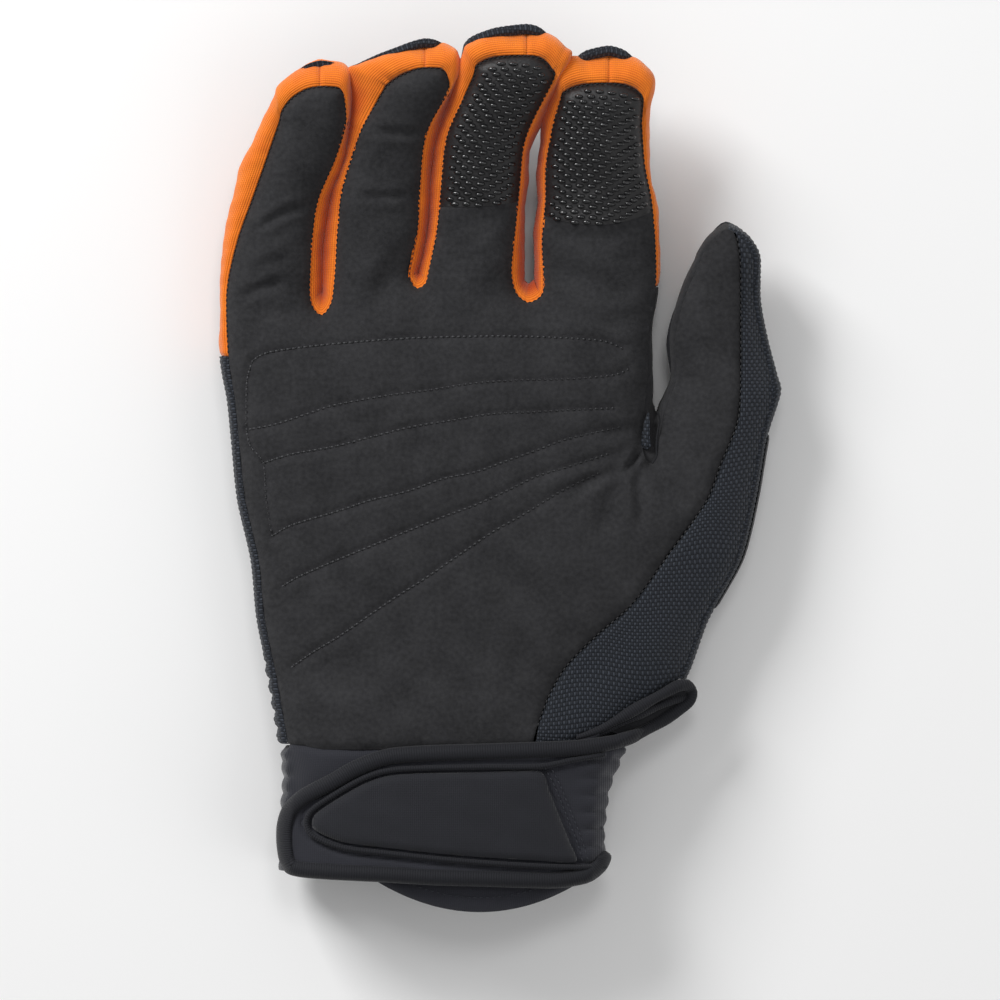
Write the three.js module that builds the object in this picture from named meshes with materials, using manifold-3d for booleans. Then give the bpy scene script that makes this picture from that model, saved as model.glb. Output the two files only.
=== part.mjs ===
// A right-hand riding glove lying on its back, palm up, fingers towards +Y
// and thumb towards +X.  All sizes are millimetres.
//
// The glove is built the way it is sewn.  A palm panel and a back panel are two
// blown-up faces.  Narrow side strips join them around every finger, a woven
// panel wraps the thumb, and a hollow cuff with a closing strap ends the wrist.
import * as THREE from 'three';
import Module from 'manifold-3d';

const wasm = await Module();
wasm.setup();

// Driving sizes
const GAP = 0.3;
const LEATHER = 1.2;
const STRIP = 1.1;
const CUFF_WALL = 2.2;
const PALM_MID = 11.0;
const KNUCKLE_Y = 40;
const FINGER_CURL = 0.0078;
const THUMB_CURL = 0.0065;
const THUMB_CURL_Y = 12;
const EDGE_FINGER = 4.8;
const EDGE_PALM = 6.5;
const EDGE_WRIST = 8.0;
const CROWN_EDGE = 3.0;
const CROWN_WIDE = 6.6;
const SEAM_ANGLE = 0.6;
const TIP_REACH = 0.97;
const FACE_STEP = 8.5;
const PATH_STEP = 5.2;

// Finger tables.
// Each row is [seamY, seamLeft, seamRight, edgeY, edgeLeft, edgeRight].
// The seam joins the palm face to the side strip, the edge is the outermost line.
// tip holds the top of both lines and how square each shoulder is.
const FINGERS = {
  pinky: {
    rows: [
      [43.6, -67.5, -46.9, 43.9, -69.3, -44.3],
      [55.9, -64.8, -46.3, 55.9, -68.2, -43.9],
      [65.7, -61.2, -44.8, 65.7, -66.4, -42.2],
      [75.5, -57.6, -40.6, 75.5, -63.5, -38.6],
      [84.0, -54.6, -37.9, 90.0, -56.0, -36.8],
    ],
    tip: { x: -44.3, seamY: 93.3, edgeY: 99.9, left: 1.8, right: 3.0 },
  },
  ring: {
    rows: [
      [48.5, -40.9, -22.3, 48.5, -43.8, -20.8],
      [58.3, -40.3, -20.4, 58.3, -43.3, -18.4],
      [68.1, -39.2, -19.8, 68.1, -41.3, -17.7],
      [77.9, -36.2, -19.0, 77.9, -37.9, -16.8],
      [84.0, -33.8, -17.3, 87.0, -36.2, -14.2],
      [92.0, -28.9, -12.8, 97.0, -36.2, -9.3],
    ],
    tip: { x: -18.6, seamY: 97.8, edgeY: 105.4, left: 1.45, right: 3.6 },
  },
  middle: {
    rows: [
      [48.5, -17.9, 2.7, 48.5, -20.0, 5.8],
      [58.3, -15.9, 3.6, 58.3, -17.9, 5.7],
      [68.1, -14.9, 4.6, 68.1, -17.2, 6.5],
      [77.9, -14.0, 5.5, 77.9, -16.3, 7.4],
      [84.0, -12.4, 7.4, 87.0, -13.7, 10.3],
      [95.0, -7.0, 13.0, 100.0, -8.7, 15.8],
    ],
    tip: { x: 6.3, seamY: 100.7, edgeY: 108.8, left: 2.4, right: 2.0 },
  },
  index: {
    rows: [
      [44.8, 10.4, 38.0, 44.8, 8.1, 39.6],
      [55.9, 10.0, 37.3, 55.9, 8.0, 39.2],
      [65.7, 10.8, 36.4, 65.7, 8.8, 38.3],
      [74.2, 10.9, 34.9, 74.2, 8.9, 36.8],
      [84.0, 12.6, 34.3, 87.0, 10.8, 36.3],
      [89.5, 14.2, 34.9, 96.0, 16.4, 37.4],
    ],
    tip: { x: 26.4, seamY: 94.1, edgeY: 104.1, left: 2.1, right: 1.4 },
  },
  thumb: {
    rows: [
      [17.6, 41.7, 66.6, 18.4, 40.1, 68.8],
      [22.5, 43.2, 66.0, 22.8, 41.9, 68.0],
      [31.4, 42.8, 63.8, 31.4, 41.3, 65.7],
      [41.2, 44.9, 61.9, 41.2, 43.2, 63.8],
      [51.0, 49.0, 61.8, 51.0, 47.3, 63.7],
    ],
    tip: { x: 55.2, seamY: 58.4, edgeY: 60.4, left: 1.4, right: 1.7 },
  },
};

// Between two fingers: [seamX, seamY, edgeX, edgeY] of the deepest point.
const CROTCHES = {
  pinkyRing: [-44.0, 37.8, -44.05, 43.2],
  ringMiddle: [-20.5, 44.3, -20.4, 48.0],
  middleIndex: [6.6, 40.9, 6.9, 45.6],
};

// Hand sides from the wrist upwards: [y, seamX, edgeX].
const LEFT_SIDE = [
  [-112.0, -52.2, -54.6], [-88.0, -52.1, -54.5], [-76.0, -51.2, -53.6], [-67.9, -52.4, -54.4],
  [-51.9, -55.2, -57.1],
  [-37.2, -58.2, -60.1], [-22.5, -59.7, -61.6], [-7.8, -63.0, -64.9], [6.9, -64.5, -66.4],
  [16.7, -65.5, -67.4], [27.4, -67.1, -69.2],
];
// Index side of the palm, the root of the thumb and its inner side, in order:
// [seamX, seamY, edgeX, edgeY].
const WEB = [
  [36.2, 32.6, 37.9, 32.6], [35.9, 22.0, 37.6, 22.0], [35.2, 14.5, 37.3, 16.6],
  [34.6, 7.0, 37.8, 15.2], [35.2, 2.9, 38.0, 14.4], [36.7, 1.2, 38.2, 14.1],
  [38.2, 2.9, 38.4, 14.4], [38.8, 7.0, 38.6, 15.2], [39.8, 12.0, 39.0, 16.4],
];
// Outer side of the thumb ball, downwards from the thumb: [y, seamX, edgeX].
const RIGHT_SIDE = [
  [7.6, 63.6, 65.5], [-7.8, 60.9, 62.8], [-22.5, 57.2, 59.1], [-37.2, 49.2, 51.1],
  [-51.9, 43.4, 45.4], [-62.0, 34.4, 36.6], [-72.0, 26.6, 28.9], [-80.0, 23.9, 26.2],
  [-90.0, 23.2, 25.5], [-112.0, 23.2, 25.5],
];
// Seam between the palm face and the woven thumb panel, from the thumb tip down.
const WOVEN_SEAM = [
  [57.9, 56.0], [58.6, 51.0], [58.8, 40.4], [58.8, 23.5], [58.1, 11.8], [54.1, 1.5],
  [51.0, -6.9], [46.6, -13.7], [41.7, -20.3], [32.3, -33.1], [23.8, -40.7],
  [16.2, -48.3], [11.8, -55.6], [9.1, -62.7], [7.6, -69.0],
];
// Seam on the back between the back panel and the thumb panel, downwards.
const BACK_SEAM = [[36.8, 0.4], [36.6, -18.0], [32.0, -40.0], [26.0, -55.0]];

// Small maths helpers
const lerp = (a, b, t) => a + (b - a) * t;

function smooth(from, to, value) {
  const t = Math.min(1, Math.max(0, (value - from) / (to - from)));
  return t * t * (3 - 2 * t);
}

// One closed contour of the hand as stations.
// A station is [seamX, seamY, edgeX, edgeY, lean].  lean is 0 where the back seam
// lies under the palm seam and 1 at a finger tip, where the tip curls upwards.
const stations = [];
const marks = {};

function addTip(finger, name) {
  const last = finger.rows[finger.rows.length - 1];
  const tip = finger.tip;
  for (let k = 1; k <= 7; k += 1) {
    const angle = (k * Math.PI) / 8;
    const left = k <= 4;
    const power = 2 / (left ? tip.left : tip.right);
    const across = Math.abs(Math.cos(angle)) ** power;
    const up = Math.sin(angle) ** power;
    const seamX = lerp(tip.x, left ? last[1] : last[2], across);
    const edgeX = lerp(tip.x, left ? last[4] : last[5], across);
    const seamY = lerp(last[0], tip.seamY, up);
    const edgeY = lerp(last[3], tip.edgeY, up);
    if (k === 4) {
      marks[`${name}Tip`] = stations.length;
    }
    stations.push([seamX, seamY, edgeX, edgeY, Math.sin(angle) ** 2]);
  }
}

function addFinger(name) {
  const finger = FINGERS[name];
  marks[`${name}Left`] = stations.length;
  for (const row of finger.rows) {
    stations.push([row[1], row[0], row[4], row[3], 0]);
  }
  addTip(finger, name);
  for (const row of [...finger.rows].reverse()) {
    stations.push([row[2], row[0], row[5], row[3], 0]);
  }
  marks[`${name}Right`] = stations.length - 1;
}

function addCrotch(left, right, crotch) {
  const [seamX, seamY, edgeX, edgeY] = crotch;
  const a = FINGERS[left].rows[0];
  const b = FINGERS[right].rows[0];
  const side = 0.72;
  const slit = Math.min(a[5], edgeX - 0.25);
  const slitRight = Math.max(b[4], edgeX + 0.25);
  stations.push([lerp(seamX, a[2], side), lerp(seamY, a[0], 0.3), slit, edgeY + 0.9, 0]);
  stations.push([seamX, seamY, edgeX, edgeY, 0]);
  stations.push([lerp(seamX, b[1], side), lerp(seamY, b[0], 0.3), slitRight, edgeY + 0.9, 0]);
}

for (const [y, seamX, edgeX] of LEFT_SIDE) {
  if (y === -67.9) {
    marks.wristLeft = stations.length;
  }
  if (y === 27.4) {
    marks.stripStart = stations.length;
  }
  stations.push([seamX, y, edgeX, y, 0]);
}
addFinger('pinky');
addCrotch('pinky', 'ring', CROTCHES.pinkyRing);
addFinger('ring');
addCrotch('ring', 'middle', CROTCHES.ringMiddle);
addFinger('middle');
addCrotch('middle', 'index', CROTCHES.middleIndex);
addFinger('index');
marks.stripEnd = stations.length - 1;
marks.webRoot = stations.length + 5;
for (const row of WEB) {
  stations.push([...row, 0]);
}
addFinger('thumb');
for (const [y, seamX, edgeX] of RIGHT_SIDE) {
  if (y === 7.6) {
    marks.guardStart = stations.length;
  }
  if (y === -51.9) {
    marks.wristRight = stations.length;
  }
  stations.push([seamX, y, edgeX, y, 0]);
}

// Smooth curve through the stations; s is a station number with a fraction.
function contour(s) {
  const last = stations.length - 1;
  const i = Math.min(last - 1, Math.max(0, Math.floor(s)));
  const t = s - i;
  const p0 = stations[Math.max(0, i - 1)];
  const p1 = stations[i];
  const p2 = stations[i + 1];
  const p3 = stations[Math.min(last, i + 2)];
  return p1.map((value, c) => {
    const d1 = (p2[c] - p0[c]) * 0.42;
    const d2 = (p3[c] - value) * 0.42;
    const t2 = t * t;
    const t3 = t2 * t;
    return value * (2 * t3 - 3 * t2 + 1) + d1 * (t3 - 2 * t2 + t)
      + p2[c] * (3 * t2 - 2 * t3) + d2 * (t3 - t2);
  });
}

// The palm seam, and the back seam that lies under it except at the curled tips.
const seamPoint = (st) => [st[0], st[1]];
const backPoint = (st) => [
  lerp(st[0], st[2], TIP_REACH * st[4]),
  lerp(st[1], st[3], TIP_REACH * st[4]),
];

// Outward direction square to the line that pick draws along the contour.
function outward(s, pick) {
  const a = pick(contour(s - 0.04));
  const b = pick(contour(s + 0.04));
  const length = Math.hypot(b[0] - a[0], b[1] - a[1]);
  return [-(b[1] - a[1]) / length, (b[0] - a[0]) / length];
}

// A station with the outward directions of its two seams added.
const fullStation = (s) => [...contour(s), ...outward(s, seamPoint), ...outward(s, backPoint)];

// Samples of the contour between two station numbers, about `step` mm apart.
function contourRange(from, to, step) {
  const out = [fullStation(from)];
  let s = from;
  while (s < to - 1e-6) {
    const next = Math.min(to, Math.floor(s + 1e-6) + 1);
    const a = contour(s);
    const b = contour(next);
    const length = Math.max(Math.hypot(b[0] - a[0], b[1] - a[1]), Math.hypot(b[2] - a[2], b[3] - a[3]));
    const parts = Math.max(1, Math.round(length / step));
    for (let k = 1; k <= parts; k += 1) {
      out.push(fullStation(lerp(s, next, k / parts)));
    }
    s = next;
  }
  return out;
}

// A smooth distance from a line of segments: it sums 1/r^3 along each segment.
function softDistance(points) {
  return (x, y) => {
    let sum = 0;
    for (let i = 0; i + 1 < points.length; i += 1) {
      const [ax, ay] = points[i];
      const [bx, by] = points[i + 1];
      const length = Math.hypot(bx - ax, by - ay);
      const ux = (bx - ax) / length;
      const uy = (by - ay) / length;
      const s1 = (ax - x) * ux + (ay - y) * uy;
      const s2 = s1 + length;
      const d2 = Math.max(1e-3, ((ax - x) * uy - (ay - y) * ux) ** 2);
      sum += (s2 / Math.sqrt(d2 + s2 * s2) - s1 / Math.sqrt(d2 + s1 * s1)) / d2;
    }
    return Math.sqrt(2 / sum);
  };
}

const allStations = contourRange(0, stations.length - 1, PATH_STEP);
const palmDistance = softDistance(allStations.map(seamPoint));
const backDistance = softDistance(allStations.map(backPoint));

function midHeight(x, y) {
  const finger = 0.5 * FINGER_CURL * Math.max(0, y - KNUCKLE_Y) ** 2;
  const thumb = 0.5 * THUMB_CURL * Math.max(0, y - THUMB_CURL_Y) ** 2;
  const side = smooth(39.4, 40.2, x);
  return PALM_MID + lerp(finger, thumb, side) + 1.2 * smooth(-45, -75, y);
}

function edgeHeight(x, y) {
  const base = x > 39.7 && y > 8 ? smooth(30, 8, y) : smooth(48, 15, y);
  return lerp(EDGE_FINGER, EDGE_PALM, base) + (EDGE_WRIST - EDGE_PALM) * smooth(-45, -75, y);
}

function crown(distance) {
  const edge = CROWN_EDGE * (1 - Math.exp(-distance / 4));
  return edge + CROWN_WIDE * (1 - Math.exp(-distance / 20));
}

const palmHeight = (x, y) => midHeight(x, y) + edgeHeight(x, y) + crown(palmDistance(x, y));
const backHeight = (x, y) => Math.max(0, midHeight(x, y) - edgeHeight(x, y) - crown(backDistance(x, y)));

// Closed shell between an outer and an inner grid of points with the same rows.
function shell(outer, inner, closedRows, closedColumns) {
  const rows = outer.length;
  const columns = outer[0].length;
  const points = [...outer.flat(), ...inner.flat()];
  const half = rows * columns;
  const faces = [];
  const at = (r, c) => (r % rows) * columns + (c % columns);
  const quad = (a, b, c, d) => faces.push([a, b, c], [a, c, d]);
  const rowEnd = closedRows ? rows : rows - 1;
  const columnEnd = closedColumns ? columns : columns - 1;
  for (let r = 0; r < rowEnd; r += 1) {
    for (let c = 0; c < columnEnd; c += 1) {
      const [i, j, k, l] = [at(r, c), at(r + 1, c), at(r + 1, c + 1), at(r, c + 1)];
      quad(i, j, k, l);
      quad(half + i, half + l, half + k, half + j);
    }
  }
  if (!closedColumns) {
    for (let r = 0; r < rowEnd; r += 1) {
      const e = columns - 1;
      quad(at(r, 0), half + at(r, 0), half + at(r + 1, 0), at(r + 1, 0));
      quad(at(r, e), at(r + 1, e), half + at(r + 1, e), half + at(r, e));
    }
  }
  if (!closedRows) {
    for (let c = 0; c < columnEnd; c += 1) {
      const e = rows - 1;
      quad(at(0, c), at(0, c + 1), half + at(0, c + 1), half + at(0, c));
      quad(at(e, c), half + at(e, c), half + at(e, c + 1), at(e, c + 1));
    }
  }
  return solidOf(points, faces);
}

// Points and triangles; turned inside out when the volume comes out negative.
function solidOf(points, faces) {
  let volume = 0;
  for (const [a, b, c] of faces) {
    const [p, q, r] = [points[a], points[b], points[c]];
    volume += p[0] * (q[1] * r[2] - q[2] * r[1]) - p[1] * (q[0] * r[2] - q[2] * r[0])
      + p[2] * (q[0] * r[1] - q[1] * r[0]);
  }
  const turned = volume < 0 ? faces.map(([a, b, c]) => [a, c, b]) : faces;
  return { points, faces: turned };
}

function inside(x, y, loop) {
  let odd = false;
  for (let i = 0, j = loop.length - 1; i < loop.length; j = i, i += 1) {
    const [ax, ay] = loop[i];
    const [bx, by] = loop[j];
    if (ay > y !== by > y && x < ((bx - ax) * (y - ay)) / (by - ay) + ax) {
      odd = !odd;
    }
  }
  return odd;
}

function distanceTo(x, y, loop) {
  let best = Infinity;
  for (let i = 0; i < loop.length; i += 1) {
    const [ax, ay] = loop[i];
    const [bx, by] = loop[(i + 1) % loop.length];
    const dx = bx - ax;
    const dy = by - ay;
    const t = Math.min(1, Math.max(0, ((x - ax) * dx + (y - ay) * dy) / (dx * dx + dy * dy)));
    best = Math.min(best, Math.hypot(ax + t * dx - x, ay + t * dy - y));
  }
  return best;
}

// Triangles of a point set in which no corner lies inside another's circle.
function delaunay(points) {
  const all = [...points, [-4000, -3000], [4100, -3100], [50, 5000]];
  const n = points.length;
  const circle = (a, b, c) => {
    const [ax, ay] = all[a];
    const [bx, by] = [all[b][0] - ax, all[b][1] - ay];
    const [cx, cy] = [all[c][0] - ax, all[c][1] - ay];
    const d = 2 * (bx * cy - by * cx);
    const ux = (cy * (bx * bx + by * by) - by * (cx * cx + cy * cy)) / d;
    const uy = (bx * (cx * cx + cy * cy) - cx * (bx * bx + by * by)) / d;
    return { corners: [a, b, c], x: ax + ux, y: ay + uy, r2: ux * ux + uy * uy };
  };
  let triangles = [circle(n, n + 1, n + 2)];
  for (let i = 0; i < n; i += 1) {
    const [x, y] = all[i];
    const edges = new Map();
    const kept = [];
    for (const t of triangles) {
      if ((t.x - x) ** 2 + (t.y - y) ** 2 >= t.r2) {
        kept.push(t);
        continue;
      }
      for (let k = 0; k < 3; k += 1) {
        const a = t.corners[k];
        const b = t.corners[(k + 1) % 3];
        const back = `${b},${a}`;
        if (edges.has(back)) {
          edges.delete(back);
        } else {
          edges.set(`${a},${b}`, [a, b]);
        }
      }
    }
    for (const [a, b] of edges.values()) {
      kept.push(circle(a, b, i));
    }
    triangles = kept;
  }
  return triangles.map((t) => t.corners).filter((t) => t.every((i) => i < n));
}

// Steepness of a height function, as slope length over flat length.
function steepness(height, x, y) {
  const gx = height(x + 0.5, y) - height(x - 0.5, y);
  const gy = height(x, y + 0.5) - height(x, y - 0.5);
  return Math.min(2.0, Math.sqrt(1 + gx * gx + gy * gy));
}

// The same surface moved by a distance measured square to its slope.
const lifted = (height, distance) => (x, y) => height(x, y) + distance * steepness(height, x, y);

// A closed sheet over a flat outline between two height functions.
function sheet(loop, height, other, step) {
  const points = loop.map((p) => [p[0], p[1]]);
  const xs = points.map((p) => p[0]);
  const ys = points.map((p) => p[1]);
  const rowStep = step * 0.866;
  let row = 0;
  for (let y = Math.min(...ys) + rowStep * 0.6; y < Math.max(...ys); y += rowStep) {
    row += 1;
    for (let x = Math.min(...xs) + (row % 2 ? 0 : step / 2); x < Math.max(...xs); x += step) {
      const px = x + 0.13 * Math.sin(3 * row + x);
      const py = y + 0.13 * Math.cos(5 * row + x);
      if (inside(px, py, loop) && distanceTo(px, py, loop) > 0.5 * step) {
        points.push([px, py]);
      }
    }
  }
  const count = loop.length;
  const faces = delaunay(points).filter((t) => {
    const x = (points[t[0]][0] + points[t[1]][0] + points[t[2]][0]) / 3;
    const y = (points[t[0]][1] + points[t[1]][1] + points[t[2]][1]) / 3;
    return inside(x, y, loop);
  });
  const edges = new Set();
  for (const [a, b, c] of faces) {
    edges.add(`${a},${b}`);
    edges.add(`${b},${c}`);
    edges.add(`${c},${a}`);
  }
  const body = [];
  const under = [];
  for (const [x, y] of points) {
    body.push([x, y, height(x, y)]);
    under.push([x, y, other(x, y)]);
  }
  const all = [...body, ...under];
  const half = points.length;
  const out = [];
  for (const [a, b, c] of faces) {
    out.push([a, b, c], [half + a, half + c, half + b]);
  }
  for (let i = 0; i < count; i += 1) {
    const j = (i + 1) % count;
    if (edges.has(`${i},${j}`)) {
      out.push([j, i, half + i], [j, half + i, half + j]);
    } else if (edges.has(`${j},${i}`)) {
      out.push([i, j, half + j], [i, half + j, half + i]);
    } else {
      throw new Error(`outline edge ${i} is missing at ${points[i]}`);
    }
  }
  return solidOf(all, out);
}

// A point of the side strip at t, from the palm seam (0) round to the back seam (1),
// with the flat direction it faces.
function stripPoint(st, shift, t) {
  const px = st[0] + st[5] * shift;
  const py = st[1] + st[6] * shift;
  const length = Math.hypot(st[2] - px, st[3] - py);
  const nx = (st[2] - px) / length;
  const ny = (st[3] - py) / length;
  const angle = lerp(SEAM_ANGLE, Math.PI - SEAM_ANGLE, t);
  const round = (Math.sin(angle) - Math.sin(SEAM_ANGLE)) / (1 - Math.sin(SEAM_ANGLE));
  const full = Math.min(1, round * 1.2);
  const reach = lerp(full, TIP_REACH * Math.sin((t * Math.PI) / 2), st[4]) * length;
  const x = px + nx * reach;
  const y = py + ny * reach;
  const z = midHeight(x, y) + (edgeHeight(x, y) * Math.cos(angle)) / Math.cos(SEAM_ANGLE);
  return { x, y, z, nx, ny };
}

// Side strip from the palm seam round the edge to the back seam.
function strip(samples, shift, wall) {
  const outer = [];
  const inner = [];
  for (const st of samples) {
    const points = [0, 0.3, 0.7, 1].map((t) => ({ t, ...stripPoint(st, shift, t) }));
    outer.push(points.map((p) => [p.x, p.y, p.z]));
    inner.push(points.map((p) => {
      const inward = wall * Math.sin(Math.PI * p.t);
      const upward = wall * 1.3 * Math.cos(Math.PI * p.t);
      return [p.x - p.nx * inward, p.y - p.ny * inward, p.z - upward];
    }));
  }
  return shell(outer, inner, false, false);
}

// Solid round bar through the centre points, square to its path; open ends are flat.
function bar(centres, radius, corners, closedRows) {
  const count = centres.length;
  const points = [];
  const faces = [];
  for (let i = 0; i < count; i += 1) {
    const a = centres[closedRows ? (i + count - 1) % count : Math.max(0, i - 1)];
    const b = centres[closedRows ? (i + 1) % count : Math.min(count - 1, i + 1)];
    const along = new THREE.Vector3(b[0] - a[0], b[1] - a[1], b[2] - a[2]).normalize();
    const side = new THREE.Vector3(along.y, -along.x, 0).normalize();
    const up = new THREE.Vector3().crossVectors(side, along);
    for (let k = 0; k < corners; k += 1) {
      const angle = ((k + 0.5) / corners) * 2 * Math.PI;
      const [u, v] = [Math.cos(angle) * radius, Math.sin(angle) * radius];
      points.push([
        centres[i][0] + side.x * u + up.x * v,
        centres[i][1] + side.y * u + up.y * v,
        centres[i][2] + side.z * u + up.z * v,
      ]);
    }
  }
  const last = closedRows ? count : count - 1;
  for (let i = 0; i < last; i += 1) {
    for (let k = 0; k < corners; k += 1) {
      const p = i * corners + k;
      const q = i * corners + ((k + 1) % corners);
      const r = ((i + 1) % count) * corners + k;
      const t = ((i + 1) % count) * corners + ((k + 1) % corners);
      faces.push([p, q, t], [p, t, r]);
    }
  }
  if (!closedRows) {
    for (let k = 1; k + 1 < corners; k += 1) {
      const e = (count - 1) * corners;
      faces.push([0, k + 1, k], [e, e + k, e + k + 1]);
    }
  }
  return solidOf(points, faces);
}

// Solids are joined as exact meshes.
function manifoldOf(solid) {
  const mesh = new wasm.Mesh({
    numProp: 3,
    vertProperties: new Float32Array(solid.points.flat()),
    triVerts: new Uint32Array(solid.faces.flat()),
  });
  return new wasm.Manifold(mesh);
}

function joined(...solids) {
  let body = manifoldOf(solids[0]);
  for (const solid of solids.slice(1)) {
    body = body.add(manifoldOf(solid));
  }
  const mesh = body.getMesh();
  const points = [];
  for (let i = 0; i < mesh.vertProperties.length; i += mesh.numProp) {
    points.push([mesh.vertProperties[i], mesh.vertProperties[i + 1], mesh.vertProperties[i + 2]]);
  }
  const faces = [];
  for (let i = 0; i < mesh.triVerts.length; i += 3) {
    faces.push([mesh.triVerts[i], mesh.triVerts[i + 1], mesh.triVerts[i + 2]]);
  }
  return { points, faces };
}

// The model and its materials.
const model = new THREE.Group();
model.name = 'motocross_glove';

const COLOURS = {
  suede: [0x323236, 0.92],
  knit: [0xf27a1f, 0.85],
  woven: [0x262c3a, 0.9],
  neoprene: [0x23262e, 0.88],
  tape: [0x1f222b, 0.8],
  rubber: [0x17181b, 0.5],
  silicone: [0x141517, 0.3],
};

function addPiece(name, kind, solid) {
  const geometry = new THREE.BufferGeometry();
  geometry.setAttribute('position', new THREE.Float32BufferAttribute(solid.points.flat(), 3));
  geometry.setIndex(solid.faces.flat());
  geometry.computeVertexNormals();
  const [color, roughness] = COLOURS[kind];
  const material = new THREE.MeshStandardMaterial({ color, roughness, metalness: 0, flatShading: true });
  material.name = kind;
  const mesh = new THREE.Mesh(geometry, material);
  mesh.name = name;
  model.add(mesh);
}

// Upper end of the cuff, which is also the lower end of the panels.
const WRIST_LEFT = contour(marks.wristLeft);
const WRIST_RIGHT = contour(marks.wristRight);
const wristFraction = (x) => (x - WRIST_LEFT[0]) / (WRIST_RIGHT[0] - WRIST_LEFT[0]);
const wristLine = (f) => lerp(WRIST_LEFT[1], -69.3, smooth(0, 0.1, f)) + 17.4 * smooth(0.6, 1.0, f);

// Points of a flat line pushed sideways, to its left when amount is positive.
function pushed(line, amount) {
  return line.map((p, i) => {
    const a = line[Math.max(0, i - 1)];
    const b = line[Math.min(line.length - 1, i + 1)];
    const length = Math.hypot(b[0] - a[0], b[1] - a[1]);
    return [p[0] - ((b[1] - a[1]) / length) * amount, p[1] + ((b[0] - a[0]) / length) * amount];
  });
}

// A smooth curve through a short line of points, sampled about every step mm.
function curve(line, step) {
  const out = [line[0]];
  for (let i = 0; i + 1 < line.length; i += 1) {
    const p0 = line[Math.max(0, i - 1)];
    const p1 = line[i];
    const p2 = line[i + 1];
    const p3 = line[Math.min(line.length - 1, i + 2)];
    const parts = Math.max(1, Math.round(Math.hypot(p2[0] - p1[0], p2[1] - p1[1]) / step));
    for (let k = 1; k <= parts; k += 1) {
      const t = k / parts;
      out.push([0, 1].map((c) => {
        const d1 = (p2[c] - p0[c]) * 0.45;
        const d2 = (p3[c] - p1[c]) * 0.45;
        return p1[c] * (2 * t ** 3 - 3 * t ** 2 + 1) + d1 * (t ** 3 - 2 * t ** 2 + t)
          + p2[c] * (3 * t ** 2 - 2 * t ** 3) + d2 * (t ** 3 - t ** 2);
      }));
    }
  }
  return out;
}

function wristPoints(fromX, toX, lift) {
  const out = [];
  const parts = Math.max(1, Math.round(Math.abs(toX - fromX) / 6));
  for (let k = 0; k <= parts; k += 1) {
    const x = lerp(fromX, toX, k / parts);
    out.push([x, wristLine(wristFraction(x)) + lift]);
  }
  return out;
}

// Flat outlines move from the seam line by `out` millimetres, outward when positive.
const movedSeam = (samples, out) => samples.map((st) => (
  [st[0] + st[5] * out, st[1] + st[6] * out]
));
const movedBack = (samples, out) => samples.map((st) => {
  const [x, y] = backPoint(st);
  return [x + st[7] * out, y + st[8] * out];
});

const half = GAP / 2;
const thumbTip = marks.thumbTip + 0.75;
const low = 0.45;
const leftLow = marks.wristLeft + 0.02;
const rightLow = marks.wristRight - 0.02;

const palmUnder = lifted(palmHeight, -LEATHER);
const backOver = lifted(backHeight, LEATHER);

// Palm face with the finger fronts and the thumb front in one piece.
const palmSide = movedSeam(contourRange(leftLow, thumbTip, PATH_STEP), -half);
const wovenCurve = curve(WOVEN_SEAM.slice(0, -1), PATH_STEP);
const backCurve = curve(BACK_SEAM, PATH_STEP);
const wovenInside = pushed(wovenCurve, -half);
const palmLoop = [
  ...palmSide,
  ...wovenInside,
  ...wristPoints(7.4, WRIST_LEFT[0] + 4, low),
];
addPiece('palm_panel', 'suede', sheet(palmLoop, palmHeight, palmUnder, FACE_STEP));

// Orange side strips between the palm and the back of the fingers.
const cut = 0.03;
const STRIPS = [
  ['fourchette_pinky_outer', marks.stripStart, marks.pinkyTip],
  ['fourchette_pinky_ring', marks.pinkyTip, marks.ringTip],
  ['fourchette_ring_middle', marks.ringTip, marks.middleTip],
  ['fourchette_middle_index', marks.middleTip, marks.indexTip],
  ['fourchette_index_outer', marks.indexTip, marks.stripEnd],
];
for (const [name, from, to] of STRIPS) {
  addPiece(name, 'knit', strip(contourRange(from + cut, to - cut, PATH_STEP), half, STRIP));
}

// Back panel with the finger backs, flat where it rests, and the plain hand sides.
const backLoop = [
  ...movedBack(contourRange(leftLow, marks.stripStart - 2 * cut, PATH_STEP), 0.5),
  ...movedBack(contourRange(marks.stripStart - cut, marks.stripEnd + cut, PATH_STEP), -half),
  ...movedBack(contourRange(marks.stripEnd + 2 * cut, marks.webRoot - 0.3, PATH_STEP), 0.5),
  ...pushed(backCurve, -half),
  ...wristPoints(23.2, WRIST_LEFT[0] + 4, low),
];
const leftWall = strip(contourRange(leftLow, marks.stripStart - 2 * cut, PATH_STEP), half, LEATHER);
const webWall = strip(contourRange(marks.stripEnd + 2 * cut, marks.webRoot - 0.15, PATH_STEP), half, LEATHER);
const backFace = sheet(backLoop, backHeight, backOver, FACE_STEP);
addPiece('back_panel', 'woven', joined(backFace, leftWall, webWall));

// Woven thumb panel: front beside the seam, outer edge, and the thumb's back.
const thumbFront = [
  ...movedSeam(contourRange(thumbTip + 0.25, rightLow, PATH_STEP), 0.5),
  ...wristPoints(WRIST_RIGHT[0] - 3, 8.2, low),
  ...pushed([...wovenCurve].reverse(), -half),
];
const thumbBack = [
  ...movedBack(contourRange(marks.webRoot + 0.4, rightLow, PATH_STEP), 0.5),
  ...wristPoints(WRIST_RIGHT[0] - 3, 24.0, low),
  ...pushed([...backCurve].reverse(), -half),
];
const thumbWall = strip(contourRange(marks.webRoot + 0.15, rightLow, PATH_STEP), half, LEATHER);
addPiece('thumb_panel', 'woven', joined(
  sheet(thumbFront, palmHeight, palmUnder, FACE_STEP),
  sheet(thumbBack, backHeight, backOver, FACE_STEP),
  thumbWall,
));

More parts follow.
